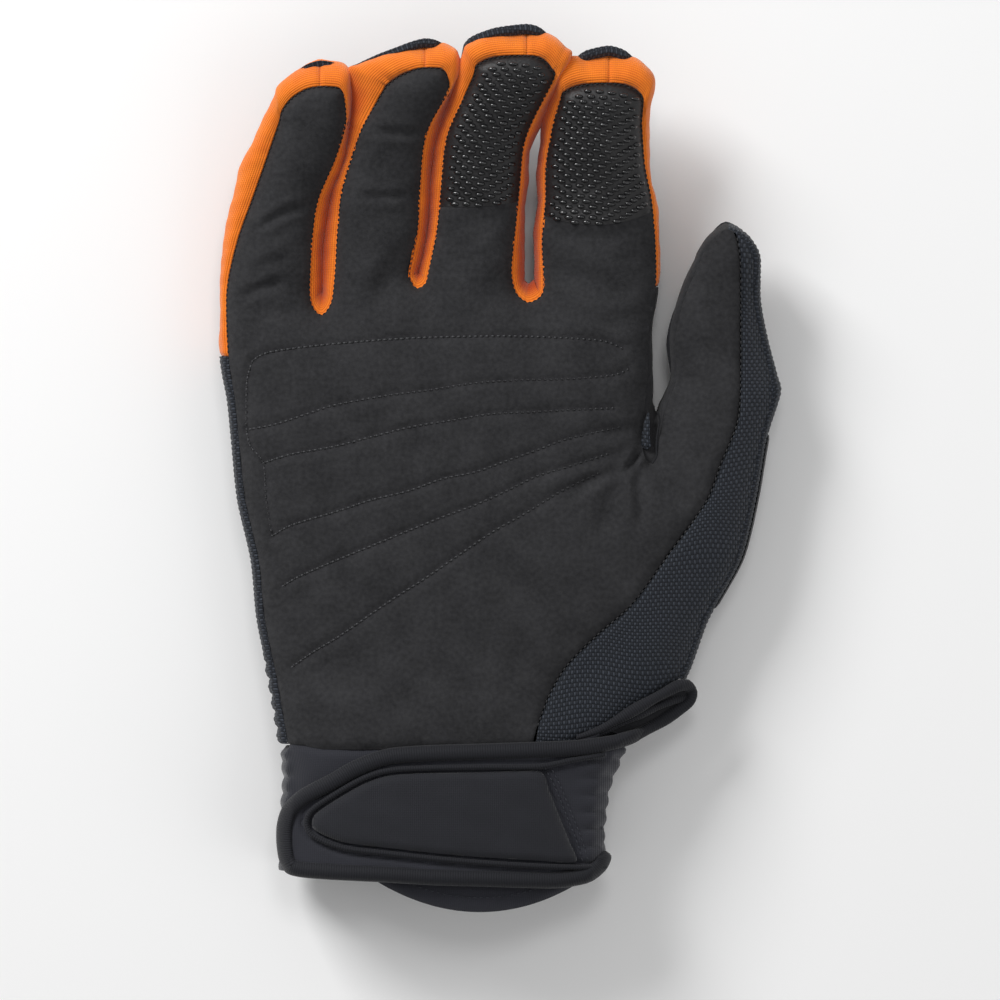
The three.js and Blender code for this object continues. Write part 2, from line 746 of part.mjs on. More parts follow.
// Thin moulded guard on the outer edge and back of the thumb ball.
const guardOuter = [];
const guardInner = [];
for (const st of contourRange(marks.guardStart - 0.05, marks.guardStart + 2.8, PATH_STEP)) {
  const points = [0.34, 0.5, 0.7, 0.83].map((t) => ({ t, ...stripPoint(st, half, t) }));
  const away = (p, d) => [
    p.x + p.nx * d * Math.sin(Math.PI * p.t),
    p.y + p.ny * d * Math.sin(Math.PI * p.t),
    p.z + d * Math.cos(Math.PI * p.t),
  ];
  guardOuter.push(points.map((p) => away(p, 1.5)));
  guardInner.push(points.map((p) => away(p, 0.5)));
}
addPiece('thumb_guard', 'rubber', shell(guardOuter, guardInner, false, false));

// Grip prints on the middle and index fronts: thin sheets above the suede.
for (const name of ['middle', 'index']) {
  const from = marks[`${name}Left`] + 1.8;
  const to = marks[`${name}Right`] - 1.9;
  const sides = movedSeam(contourRange(from, to, 6.5), -1.6);
  const a = sides[sides.length - 1];
  const b = sides[0];
  const lower = [0.75, 0.5, 0.25].map((t) => [
    lerp(b[0], a[0], t), lerp(b[1], a[1], t) - 6 * t * (1 - t) * (name === 'index' ? 2 : 0.5),
  ]);
  const print = sheet([...sides, ...lower], lifted(palmHeight, 1.45), lifted(palmHeight, 0.95), 7);
  addPiece(`grip_print_${name}`, 'silicone', print);
}

// Upper surface continued past the seam, where the side falls away.
const seamLoop = allStations.map(seamPoint);
function topHeight(x, y) {
  if (inside(x, y, seamLoop)) {
    return palmHeight(x, y);
  }
  const beyond = distanceTo(x, y, seamLoop);
  return midHeight(x, y) + edgeHeight(x, y) - 1.1 * Math.min(beyond, 4);
}

// Hollow cuff below the wrist line, with a longer tongue in the middle.
const CUFF_END = -98.8;
const TONGUE_END = -108.5;
const TONGUE_X = -5.0;
const TONGUE_CURVE = 0.0115;
function sideAt(table, y) {
  const rows = [...table].sort((a, b) => a[0] - b[0]);
  const i = Math.min(rows.length - 2, Math.max(0, rows.findIndex((row) => row[0] > y) - 1));
  const t = (y - rows[i][0]) / (rows[i + 1][0] - rows[i][0]);
  return [lerp(rows[i][1], rows[i + 1][1], t), lerp(rows[i][2], rows[i + 1][2], t)];
}

const cuffOuter = [];
const cuffInner = [];
for (const v of [0, 0.18, 0.4, 0.65, 0.85, 1]) {
  const leftY = lerp(WRIST_LEFT[1] - low, CUFF_END, v);
  const rightY = lerp(WRIST_RIGHT[1] - low, CUFF_END, v);
  const [leftSeam, leftEdge] = sideAt(LEFT_SIDE, leftY);
  const [rightSeam, rightEdge] = sideAt(RIGHT_SIDE, rightY);
  const across = (f) => {
    const x = lerp(leftSeam, rightSeam, f);
    const end = Math.min(CUFF_END, TONGUE_END + TONGUE_CURVE * (x - TONGUE_X) ** 2);
    return [x, lerp(wristLine(f) - low, end, v)];
  };
  const sideZ = (x, y, t) => {
    const angle = lerp(SEAM_ANGLE, Math.PI - SEAM_ANGLE, t);
    return midHeight(x, y) + (edgeHeight(x, y) * Math.cos(angle)) / Math.cos(SEAM_ANGLE);
  };
  const loop = [];
  for (const f of [0, 0.06, 0.14, 0.27, 0.42, 0.57, 0.66, 0.74, 0.82, 0.9, 0.95, 1]) {
    const [x, y] = across(f);
    loop.push([x, y, palmHeight(x, y)]);
  }
  for (const t of [0.3, 0.7]) {
    const x = lerp(rightSeam, rightEdge, 0.92);
    loop.push([x, rightY, sideZ(x, rightY, t)]);
  }
  for (const f of [1, 0.95, 0.9, 0.82, 0.74, 0.66, 0.57, 0.42, 0.27, 0.14, 0.06, 0]) {
    const [x, y] = across(f);
    loop.push([x, y, backHeight(x, y)]);
  }
  for (const t of [0.7, 0.3]) {
    const x = lerp(leftSeam, leftEdge, 0.92);
    loop.push([x, leftY, sideZ(x, leftY, t)]);
  }
  cuffOuter.push(loop);
  cuffInner.push(loop.map((p, i) => {
    const a = loop[(i + loop.length - 1) % loop.length];
    const b = loop[(i + 1) % loop.length];
    const length = Math.hypot(b[0] - a[0], b[2] - a[2]);
    const [nx, nz] = [(b[2] - a[2]) / length, -(b[0] - a[0]) / length];
    return [p[0] + nx * CUFF_WALL, p[1], p[2] + nz * CUFF_WALL];
  }));
}
addPiece('cuff', 'neoprene', shell(cuffOuter, cuffInner, false, true));

// Rolled lips of the wrist opening: a hairpin bar beside the thumb panel.
const LIP_RADIUS = 1.5;
const LIP_PATH = [
  [15.0, -65.0], [24.3, -63.4], [30.5, -59.4], [36.5, -55.2], [41.0, -53.9], [44.6, -53.6],
  [46.2, -55.6], [45.2, -58.4], [40.6, -61.6], [34.8, -65.0], [29.0, -67.4],
];
const lipCentres = curve(LIP_PATH, 3.5).map(([x, y]) => [x, y, topHeight(x, y) + LIP_RADIUS + 0.75]);
addPiece('cuff_gusset', 'tape', bar(lipCentres, LIP_RADIUS, 7, false));

// Closing strap across the cuff.
// Levels are heights above the cuff surface.
const STRAP_UNDER = 1.0;
const STRAP_TOP = 3.1;
const BINDING_TOP = 4.1;
const BINDING_WIDTH = 3.5;
const PANEL_TOP = 4.5;
const STRAP_OUTLINE = [
  [26.2, -72.0], [24.0, -69.0], [10.8, -67.3], [-4.0, -67.4], [-19.8, -67.9], [-28.4, -68.8],
  [-36.0, -71.6], [-42.0, -75.0], [-49.0, -78.8], [-53.0, -82.8], [-54.6, -87.5],
  [-54.4, -92.5], [-52.6, -97.2], [-47.0, -99.3], [-28.4, -100.9], [-16.0, -101.6],
  [-5.0, -101.9], [6.0, -102.3], [14.5, -102.4], [21.6, -101.2], [25.6, -97.8],
  [26.4, -90.0], [26.4, -80.0],
];
const PANEL_OUTLINE = [
  [9.3, -74.1], [-4.0, -74.2], [-17.0, -74.4], [-27.0, -75.0], [-33.3, -77.0], [-40.6, -81.2],
  [-45.6, -84.9], [-45.6, -88.3], [-38.5, -91.3], [-27.0, -92.7], [-15.0, -94.0], [-3.0, -95.0],
  [9.0, -95.8], [18.2, -96.2], [16.8, -91.5], [14.4, -85.5], [11.8, -79.0],
];

// Closed smooth curve through a loop of points.
function closedCurve(line, step) {
  const n = line.length;
  const out = [];
  for (let i = 0; i < n; i += 1) {
    const four = [line[(i + n - 1) % n], line[i], line[(i + 1) % n], line[(i + 2) % n]];
    const chord = Math.hypot(four[2][0] - four[1][0], four[2][1] - four[1][1]);
    const parts = Math.max(1, Math.round(chord / step));
    for (let k = 0; k < parts; k += 1) {
      const t = k / parts;
      out.push([0, 1].map((c) => {
        const d1 = (four[2][c] - four[0][c]) * 0.4;
        const d2 = (four[3][c] - four[1][c]) * 0.4;
        return four[1][c] * (2 * t ** 3 - 3 * t ** 2 + 1) + d1 * (t ** 3 - 2 * t ** 2 + t)
          + four[2][c] * (3 * t ** 2 - 2 * t ** 3) + d2 * (t ** 3 - t ** 2);
      }));
    }
  }
  return out;
}

// A closed loop moved inwards by amount; the loops here run anticlockwise.
function inset(loop, amount) {
  return loop.map((p, i) => {
    const a = loop[(i + loop.length - 1) % loop.length];
    const b = loop[(i + 1) % loop.length];
    const length = Math.hypot(b[0] - a[0], b[1] - a[1]);
    return [p[0] - ((b[1] - a[1]) / length) * amount, p[1] + ((b[0] - a[0]) / length) * amount];
  });
}

const level = (x, y, d) => [x, y, topHeight(x, y) + d * Math.min(1.35, steepness(topHeight, x, y))];
const strapLoop = closedCurve(STRAP_OUTLINE, PATH_STEP);
const strapBody = sheet(
  inset(strapLoop, 1.25),
  (x, y) => level(x, y, STRAP_TOP)[2],
  (x, y) => level(x, y, STRAP_UNDER)[2],
  7,
);
addPiece('closure_strap', 'neoprene', strapBody);

// Binding tape folded over the strap edge: an L section swept round the outline.
const bindingOuter = [];
const bindingInner = [];
const ring = (amount) => inset(strapLoop, amount);
const [edge0, edge1, edge2] = [ring(0), ring(0.9), ring(BINDING_WIDTH)];
for (let i = 0; i < strapLoop.length; i += 1) {
  const [a, b, c] = [edge0[i], edge1[i], edge2[i]];
  bindingOuter.push([
    level(a[0], a[1], STRAP_UNDER), level(a[0], a[1], BINDING_TOP - 0.6),
    level(b[0], b[1], BINDING_TOP), level(c[0], c[1], BINDING_TOP),
  ]);
  bindingInner.push([
    level(b[0], b[1], STRAP_UNDER), level(b[0], b[1], STRAP_TOP + 0.2),
    level(lerp(b[0], c[0], 0.12), lerp(b[1], c[1], 0.12), STRAP_TOP + 0.35),
    level(c[0], c[1], STRAP_TOP + 0.35),
  ]);
}
addPiece('strap_binding', 'tape', shell(bindingOuter, bindingInner, true, false));

const panelLoop = closedCurve(PANEL_OUTLINE, PATH_STEP);
const panel = sheet(
  panelLoop,
  (x, y) => level(x, y, PANEL_TOP)[2],
  (x, y) => level(x, y, STRAP_TOP + 0.35)[2],
  8,
);
addPiece('strap_panel', 'neoprene', panel);

// Piping laid in the groove between the binding and the raised panel.
const pipingCentres = inset(panelLoop, -1.15).map(([x, y]) => level(x, y, STRAP_TOP + 0.9));
addPiece('strap_piping', 'tape', bar(pipingCentres, 0.5, 6, true));

// Place the model with its box centred on the origin and resting at z = 0
const box = new THREE.Box3().setFromObject(model);
const centre = box.getCenter(new THREE.Vector3());
model.position.set(-centre.x, -centre.y, -box.min.z);
model.updateMatrixWorld(true);

export default model;
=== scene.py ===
# %% [markdown]
# # A motocross glove lying palm up
# The glove is sewn from flat cloth: a suede palm, knitted side strips between
# the fingers, a woven back and thumb, a stretchy cuff and a closing strap.
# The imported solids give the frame. Every piece below is a finer copy of one
# solid, made from the same seam lines and the same heights, in millimetres.

# %% Load the frame
import math
import bpy
import numpy as np
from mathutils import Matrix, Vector
from mathutils.geometry import delaunay_2d_cdt
from mathutils.kdtree import KDTree


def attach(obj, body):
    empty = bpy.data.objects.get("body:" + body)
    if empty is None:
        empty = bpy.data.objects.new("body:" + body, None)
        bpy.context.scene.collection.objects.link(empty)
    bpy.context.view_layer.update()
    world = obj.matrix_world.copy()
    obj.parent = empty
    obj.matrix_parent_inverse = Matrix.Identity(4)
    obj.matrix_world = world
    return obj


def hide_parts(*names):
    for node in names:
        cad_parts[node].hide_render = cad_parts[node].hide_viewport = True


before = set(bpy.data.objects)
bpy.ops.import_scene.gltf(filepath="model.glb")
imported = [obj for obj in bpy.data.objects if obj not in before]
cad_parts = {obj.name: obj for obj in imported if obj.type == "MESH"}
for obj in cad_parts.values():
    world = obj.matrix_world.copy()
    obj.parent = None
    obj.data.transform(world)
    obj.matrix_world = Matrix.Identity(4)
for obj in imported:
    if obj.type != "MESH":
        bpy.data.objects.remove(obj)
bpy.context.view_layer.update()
print("solids in the frame:", len(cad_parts))

# %% [markdown]
# ## The seam lines
# A real pattern maker keeps tables of seam points. These are the ones that the
# solids were built from, so a fine piece lands exactly on its solid. A station
# holds the palm seam, the outermost edge and how far a fingertip curls up.

# %% Sizes and finger tables
PALM_MID = 11.0
KNUCKLE_Y = 40.0
FINGER_CURL = 0.0078
THUMB_CURL = 0.0065
THUMB_CURL_Y = 12.0
EDGE_FINGER, EDGE_PALM, EDGE_WRIST = 4.8, 6.5, 8.0
CROWN_EDGE, CROWN_WIDE = 3.0, 6.6
SEAM_ANGLE = 0.6
TIP_REACH = 0.97
GAP, SUEDE, STRIP, CUFF_WALL = 0.3, 1.2, 1.1, 2.2
RIB_PITCH = 4.0
WRIST_BLEND = (-45, -75)
THUMB_BLEND = (39.4, 40.2)
THUMB_LEFT, THUMB_LOW = 39.7, 8
STEEPEST = 2.0
# The frame's origin is the middle of the solids' box, the pattern's is the photo's.
SHIFT = np.array([0.298, -0.069, 0.0])

# Each finger has rows from its root up: seam y, left and right seam x, edge y, left
# and right edge x. Then come the tip's x, seam y and edge y, and two roundness powers.
FINGERS = {
    "pinky": ([
        [43.6, -67.5, -46.9, 43.9, -69.3, -44.3], [55.9, -64.8, -46.3, 55.9, -68.2, -43.9],
        [65.7, -61.2, -44.8, 65.7, -66.4, -42.2], [75.5, -57.6, -40.6, 75.5, -63.5, -38.6],
        [84.0, -54.6, -37.9, 90.0, -56.0, -36.4]], [-44.3, 93.3, 99.9, 1.8, 4.5]),
    "ring": ([
        [48.5, -40.9, -22.3, 48.5, -43.8, -20.8], [58.3, -40.3, -20.4, 58.3, -43.3, -18.4],
        [68.1, -39.2, -19.8, 68.1, -41.3, -17.7], [77.9, -36.2, -19.0, 77.9, -37.9, -16.8],
        [84.0, -33.8, -17.3, 87.0, -37.0, -14.2], [92.0, -28.9, -12.8, 97.0, -37.2, -9.9]],
        [-18.6, 97.8, 105.1, 1.45, 3.6]),
    "middle": ([
        [48.5, -17.9, 2.7, 48.5, -20.0, 5.8], [58.3, -15.9, 3.6, 58.3, -17.9, 5.7],
        [68.1, -14.9, 4.6, 68.1, -17.2, 6.5], [77.9, -14.0, 5.5, 77.9, -16.3, 7.4],
        [84.0, -12.4, 7.4, 87.0, -13.9, 10.8], [95.0, -7.0, 13.0, 100.0, -9.9, 17.0]],
        [6.3, 100.7, 108.5, 2.7, 2.0]),
    "index": ([
        [44.8, 10.4, 38.1, 44.8, 8.1, 38.8], [55.9, 10.0, 38.0, 55.9, 8.0, 39.2],
        [65.7, 10.8, 37.1, 65.7, 8.8, 38.3], [74.2, 10.9, 35.4, 74.2, 8.9, 36.6],
        [84.0, 12.6, 34.6, 87.0, 10.4, 36.4], [89.5, 14.2, 34.9, 94.0, 13.2, 37.9]],
        [26.4, 94.1, 103.4, 2.3, 2.0]),
    "thumb": ([
        [17.6, 41.7, 66.6, 18.4, 40.1, 68.8], [22.5, 43.2, 66.0, 22.8, 41.9, 68.0],
        [31.4, 42.8, 63.8, 31.4, 41.3, 65.7], [41.2, 44.9, 61.9, 41.2, 43.2, 63.8],
        [51.0, 49.0, 61.8, 51.0, 47.3, 63.7]], [55.2, 58.4, 60.4, 1.4, 1.7]),
}
CROTCHES = [[-44.0, 37.8, -44.05, 43.2], [-20.5, 44.3, -20.4, 48.0], [6.6, 40.9, 6.9, 45.6]]
LEFT_SIDE = [
    [-112.0, -52.2, -54.6], [-88.0, -52.1, -54.5], [-76.0, -51.2, -53.6], [-67.9, -52.4, -54.4],
    [-51.9, -55.2, -57.1], [-37.2, -58.2, -60.1], [-22.5, -59.7, -61.6], [-7.8, -63.0, -64.9],
    [6.9, -64.5, -66.4], [16.7, -65.5, -67.4], [27.4, -67.1, -69.2]]
WEB = [
    [36.2, 32.6, 37.2, 32.6], [35.9, 22.0, 37.6, 22.0], [35.2, 14.5, 37.3, 16.6],
    [34.6, 7.0, 37.8, 15.2], [35.2, 2.9, 38.0, 14.4], [36.7, 1.2, 38.2, 14.1],
    [38.2, 2.9, 38.4, 14.4], [38.8, 7.0, 38.6, 15.2], [39.8, 12.0, 39.0, 16.4]]
RIGHT_SIDE = [
    [7.6, 63.6, 65.5], [-7.8, 60.9, 62.8], [-22.5, 57.2, 59.1], [-37.2, 49.2, 51.1],
    [-51.9, 43.4, 45.4], [-62.0, 34.4, 36.6], [-72.0, 26.6, 28.9], [-80.0, 23.9, 26.2],
    [-90.0, 23.2, 25.5], [-112.0, 23.2, 25.5]]
WOVEN_SEAM = [
    [57.9, 56.0], [58.6, 51.0], [58.8, 40.4], [58.8, 23.5], [58.1, 11.8], [54.1, 1.5],
    [51.0, -6.9], [46.6, -13.7], [41.7, -20.3], [32.3, -33.1], [23.8, -40.7],
    [16.2, -48.3], [11.8, -55.6], [9.1, -62.7]]
BACK_SEAM = [[36.8, 0.4], [36.6, -18.0], [32.0, -40.0], [26.0, -55.0]]


def at_pixel(u, v):
    """A place of the 1000 x 1000 picture in pattern millimetres."""
    return [(u - 501) * 0.245, (468 - v) * 0.245]


# %% [markdown]
# ## One smooth contour
# The stations go once round the hand. A cubic curve through them gives any
# number of fine points, where typing them by hand would give a jagged seam.

# %% Stations and the curve through them
STATIONS = []
MARK = {}


def add_finger(name):
    """Stations up the left side, round the tip and down the right side."""
    rows, (tip_x, seam_y, edge_y, left, right) = FINGERS[name]
    MARK[name + "Left"] = len(STATIONS)
    STATIONS.extend([r[1], r[0], r[4], r[3], 0.0] for r in rows)
    last = rows[-1]
    for k in range(1, 8):
        angle = k * math.pi / 8
        a, b, power = (last[1], last[4], 2 / left) if k <= 4 else (last[2], last[5], 2 / right)
        across = abs(math.cos(angle)) ** power
        up = math.sin(angle) ** power
        if k == 4:
            MARK[name + "Tip"] = len(STATIONS)
        STATIONS.append([
            tip_x + (a - tip_x) * across, last[0] + (seam_y - last[0]) * up,
            tip_x + (b - tip_x) * across, last[3] + (edge_y - last[3]) * up,
            math.sin(angle) ** 2])
    STATIONS.extend([r[2], r[0], r[5], r[3], 0.0] for r in reversed(rows))
    MARK[name + "Right"] = len(STATIONS) - 1


def add_crotch(left, right, crotch):
    """Three stations in the deep corner between two fingers."""
    seam_x, seam_y, edge_x, edge_y = crotch

    def beside(row, seam, edge):
        STATIONS.append([
            seam_x + 0.72 * (seam - seam_x), seam_y + 0.3 * (row[0] - seam_y),
            edge, edge_y + 0.9, 0.0])

    a, b = FINGERS[left][0][0], FINGERS[right][0][0]
    beside(a, a[2], min(a[5], edge_x - 0.25))
    STATIONS.append([*crotch, 0.0])
    beside(b, b[1], max(b[4], edge_x + 0.25))


for y, seam_x, edge_x in LEFT_SIDE:
    if y == -67.9:
        MARK["wristLeft"] = len(STATIONS)
    if y == 27.4:
        MARK["stripStart"] = len(STATIONS)
    STATIONS.append([seam_x, y, edge_x, y, 0.0])
add_finger("pinky")
add_crotch("pinky", "ring", CROTCHES[0])
add_finger("ring")
add_crotch("ring", "middle", CROTCHES[1])
add_finger("middle")
add_crotch("middle", "index", CROTCHES[2])
add_finger("index")
MARK["stripEnd"] = len(STATIONS) - 1
MARK["webRoot"] = len(STATIONS) + 5
STATIONS.extend([*row, 0.0] for row in WEB)
add_finger("thumb")
for y, seam_x, edge_x in RIGHT_SIDE:
    if y == 7.6:
        MARK["guardStart"] = len(STATIONS)
    if y == -51.9:
        MARK["wristRight"] = len(STATIONS)
    STATIONS.append([seam_x, y, edge_x, y, 0.0])
STATIONS = np.array(STATIONS)


def contour(s):
    """Seam, edge and lean at station numbers with a fraction."""
    s = np.atleast_1d(np.asarray(s, float))
    last = len(STATIONS) - 1
    i = np.clip(np.floor(s).astype(int), 0, last - 1)
    t = (s - i)[:, None]
    p0, p1 = STATIONS[np.maximum(i - 1, 0)], STATIONS[i]
    p2, p3 = STATIONS[i + 1], STATIONS[np.minimum(i + 2, last)]
    d1, d2 = (p2 - p0) * 0.42, (p3 - p1) * 0.42
    return (p1 * (2 * t**3 - 3 * t**2 + 1) + d1 * (t**3 - 2 * t**2 + t)
            + p2 * (3 * t**2 - 2 * t**3) + d2 * (t**3 - t**2))


def seam_point(st):
    return st[:, 0:2]


def back_point(st):
    return st[:, 0:2] + (st[:, 2:4] - st[:, 0:2]) * TIP_REACH * st[:, 4:5]


def outward(s, pick):
    """Flat direction that leaves the hand, square to the picked line."""
    along = pick(contour(s + 0.04)) - pick(contour(s - 0.04))
    length = np.hypot(along[:, 0], along[:, 1])
    return np.column_stack([-along[:, 1] / length, along[:, 0] / length])


def samples(first, last, step):
    """Stations about step millimetres apart, with the outward directions."""
    parts = [np.array([float(first)])]
    s = float(first)
    while s < last - 1e-6:
        stop = min(float(last), math.floor(s + 1e-6) + 1.0)
        a, b = contour([s, stop])
        length = max(math.hypot(*(b - a)[0:2]), math.hypot(*(b - a)[2:4]))
        count = max(1, round(length / step))
        parts.append(s + (stop - s) * np.arange(1, count + 1) / count)
        s = stop
    s = np.concatenate(parts)
    return np.column_stack([contour(s), outward(s, seam_point), outward(s, back_point)])


def curve(line, step, closed=False, pull=0.45):
    """A smooth curve through flat points, sampled about every step."""
    line = np.asarray(line, float)
    n = len(line)
    out = [] if closed else [line[:1]]
    for i in range(n if closed else n - 1):
        pick = [(i + k) % n if closed else min(max(i + k, 0), n - 1) for k in (-1, 0, 1, 2)]
        p0, p1, p2, p3 = line[pick]
        count = max(1, round(float(np.linalg.norm(p2 - p1)) / step))
        t = (np.arange(0, count) / count if closed else np.arange(1, count + 1) / count)[:, None]
        out.append(p1 * (2 * t**3 - 3 * t**2 + 1) + (p2 - p0) * pull * (t**3 - 2 * t**2 + t)
                   + p2 * (3 * t**2 - 2 * t**3) + (p3 - p1) * pull * (t**3 - t**2))
    return np.vstack(out)


print("stations:", len(STATIONS))

# %% [markdown]
# ## Heights of the two blown-up faces
# A filled glove is highest far from its seams. The distance from the seam line
# drives a crown, and it is a smooth distance, because a plain one leaves a
# ridge down the middle of every finger. It is measured once on a raster and
# read back from there, which is much quicker than measuring at each vertex.

# %% Distance rasters and height functions
RASTER = 0.8
RASTER_LOW = np.array([-76.0, -116.0])
RASTER_SIZE = (190, 290)


def smooth(low, high, value):
    t = np.clip((value - low) / (high - low), 0, 1)
    return t * t * (3 - 2 * t)


def soft_distance(line):
    """Raster of a distance that sums 1/r^3 along every segment of the line."""
    a, b = line[:-1], line[1:]
    length = np.maximum(np.hypot(*(b - a).T), 1e-6)
    ux, uy = ((b - a) / length[:, None]).T
    gx = RASTER_LOW[0] + RASTER * np.arange(RASTER_SIZE[0])
    rows = []
    for k in range(RASTER_SIZE[1]):
        y = RASTER_LOW[1] + RASTER * k
        rx, ry = a[None, :, 0] - gx[:, None], a[None, :, 1] - y
        s1 = rx * ux + ry * uy
        s2 = s1 + length
        d2 = np.maximum(1e-3, (rx * uy - ry * ux) ** 2)
        total = ((s2 / np.sqrt(d2 + s2 * s2) - s1 / np.sqrt(d2 + s1 * s1)) / d2).sum(1)
        rows.append(np.sqrt(2 / total))
    return np.array(rows)


def read_raster(raster, x, y):
    """Bilinear value of a raster at any places."""
    u = np.clip((x - RASTER_LOW[0]) / RASTER, 0, RASTER_SIZE[0] - 1.001)
    v = np.clip((y - RASTER_LOW[1]) / RASTER, 0, RASTER_SIZE[1] - 1.001)
    i, j = np.floor(u).astype(int), np.floor(v).astype(int)
    fu, fv = u - i, v - j
    return ((raster[j, i] * (1 - fu) + raster[j, i + 1] * fu) * (1 - fv)
            + (raster[j + 1, i] * (1 - fu) + raster[j + 1, i + 1] * fu) * fv)


whole = samples(0, len(STATIONS) - 1, 3.5)
palm_raster = soft_distance(seam_point(whole))
back_raster = soft_distance(back_point(whole))


def mid_height(x, y):
    """Height of the line halfway down a side; the fingers curl up from the knuckles."""
    finger = 0.5 * FINGER_CURL * np.maximum(0, y - KNUCKLE_Y) ** 2
    thumb = 0.5 * THUMB_CURL * np.maximum(0, y - THUMB_CURL_Y) ** 2
    side = smooth(*THUMB_BLEND, x)
    return PALM_MID + finger + (thumb - finger) * side + 1.2 * smooth(*WRIST_BLEND, y)


def edge_height(x, y):
    """Half the depth of the sides, less on the fingers and more at the wrist."""
    on_thumb = (x > THUMB_LEFT) & (y > THUMB_LOW)
    base = np.where(on_thumb, smooth(30, 8, y), smooth(48, 15, y))
    wrist = (EDGE_WRIST - EDGE_PALM) * smooth(*WRIST_BLEND, y)
    return EDGE_FINGER + (EDGE_PALM - EDGE_FINGER) * base + wrist


def crown(distance):
    """How high cloth stands above its seam, a quick rise and a slow one."""
    return CROWN_EDGE * (1 - np.exp(-distance / 4)) + CROWN_WIDE * (1 - np.exp(-distance / 20))


def palm_height(x, y):
    return mid_height(x, y) + edge_height(x, y) + crown(read_raster(palm_raster, x, y))


def back_height(x, y):
    low = mid_height(x, y) - edge_height(x, y) - crown(read_raster(back_raster, x, y))
    return np.maximum(0, low)


def steepness(height, x, y):
    """How much longer a sloping wall is than its plan."""
    gx = height(x + 0.5, y) - height(x - 0.5, y)
    gy = height(x, y + 0.5) - height(x, y - 0.5)
    return np.minimum(STEEPEST, np.sqrt(1 + gx * gx + gy * gy))


def bump(distance, width):
    """A bell: 1 at no distance, nearly 0 at twice the width."""
    return np.exp(-(distance / width) ** 2)


print("palm height in the middle of the hand:", round(float(palm_height(0.0, 0.0)), 1), "mm")

# %% [markdown]
# ## Outlines filled with triangles
# A face is an outline filled with small even triangles, then lifted to its
# height. A grid of squares would leave steps along the outline; a triangulation
# keeps the outline's own points, so two cloths meet along one clean seam.

# %% Outlines and the points inside them
def inside(points, loop):
    """Which flat points lie inside a closed loop."""
    odd = np.zeros(len(points), bool)
    x, y = points[:, 0], points[:, 1]
    for (ax, ay), (bx, by) in zip(loop, np.roll(loop, -1, axis=0)):
        if ay == by:
            continue
        odd ^= ((ay > y) != (by > y)) & (x < (bx - ax) * (y - ay) / (by - ay) + ax)
    return odd


def search_tree(points):
    """A tree that finds the closest of many flat points quickly."""
    tree = KDTree(len(points))
    for i, p in enumerate(points):
        tree.insert((p[0], p[1], 0.0), i)
    tree.balance()
    return tree


def nearest(line, points):
    """Distance to the closest of the line's points, and which one it is."""
    tree = search_tree(line)
    found = [tree.find((p[0], p[1], 0.0)) for p in points]
    return np.array([f[2] for f in found]), np.array([f[1] for f in found])


def lengths(line):
    """Length run along a line up to each of its points."""
    return np.concatenate([[0], np.cumsum(np.linalg.norm(np.diff(line, axis=0), axis=1))])


def directions(line, closed=False):
    """Unit direction of a line at each of its points."""
    along = np.roll(line, -1, 0) - np.roll(line, 1, 0) if closed else np.gradient(line, axis=0)
    return along / np.linalg.norm(along, axis=1, keepdims=True)


def pushed(line, amount, closed=False):
    """A flat line moved to its left, which is inwards for an anticlockwise loop."""
    along = directions(line, closed)
    return line + np.column_stack([-along[:, 1], along[:, 0]]) * amount


def filled(loop, step):
    """Flat points and anticlockwise triangles inside an outline."""
    low, high = loop.min(0), loop.max(0)
    gy = np.arange(low[1], high[1], step * 0.866)
    gx = np.arange(low[0], high[0] + step, step)
    x, y = np.meshgrid(gx, gy)
    x = x + (np.arange(len(gy)) % 2)[:, None] * step / 2
    grid = np.column_stack([x.ravel(), y.ravel()])
    grid = grid[inside(grid, loop)]
    grid = grid[nearest(loop, grid)[0] > 0.6 * step]
    everything = [Vector(p) for p in np.vstack([loop, grid])]
    result = delaunay_2d_cdt(everything, [], [list(range(len(loop)))], 1, 1e-5)
    points = np.array([tuple(p) for p in result[0]])
    faces = np.array(result[2])
    a, b, c = (points[faces[:, k]] for k in range(3))
    area = (b[:, 0] - a[:, 0]) * (c[:, 1] - a[:, 1]) - (b[:, 1] - a[:, 1]) * (c[:, 0] - a[:, 0])
    faces[area < 0] = faces[area < 0][:, ::-1]
    return points, faces[np.abs(area) > 1e-7]


def face_body(flat, faces, top, under):
    """Cloth between two heights over the same flat points, closed round its edge."""
    n = len(flat)
    edges = np.vstack([faces[:, [0, 1]], faces[:, [1, 2]], faces[:, [2, 0]]])
    keys, back = edges[:, 0] * n + edges[:, 1], edges[:, 1] * n + edges[:, 0]
    rim = edges[~np.isin(keys, back)]
    a, b = rim[:, 0], rim[:, 1]
    wall = np.vstack([np.column_stack([a, a + n, b + n]), np.column_stack([a, b + n, b])])
    points = np.vstack([np.column_stack([flat, top]), np.column_stack([flat, under])])
    return points, np.vstack([faces, faces[:, ::-1] + n, wall]), np.vstack([flat, flat])


# %% [markdown]
# ## Grids for strips, sleeves and bars
# A side strip, the cuff or a tube is a grid of rows and columns. A second grid
# inside it is the inner wall, so the cloth has a real thickness and the glove
# is hollow. A Solidify modifier would do that too, but it can't thin an edge.

# %% Grids, shells and tubes
def grid_faces(rows, columns, closed_columns=False):
    """Quads of a grid whose points are stored row by row."""
    c = np.arange(columns if closed_columns else columns - 1)
    r, c = np.meshgrid(np.arange(rows - 1), c, indexing="ij")
    c2 = (c + 1) % columns
    quads = [r * columns + c, (r + 1) * columns + c, (r + 1) * columns + c2, r * columns + c2]
    return np.stack(quads, axis=-1).reshape(-1, 4)


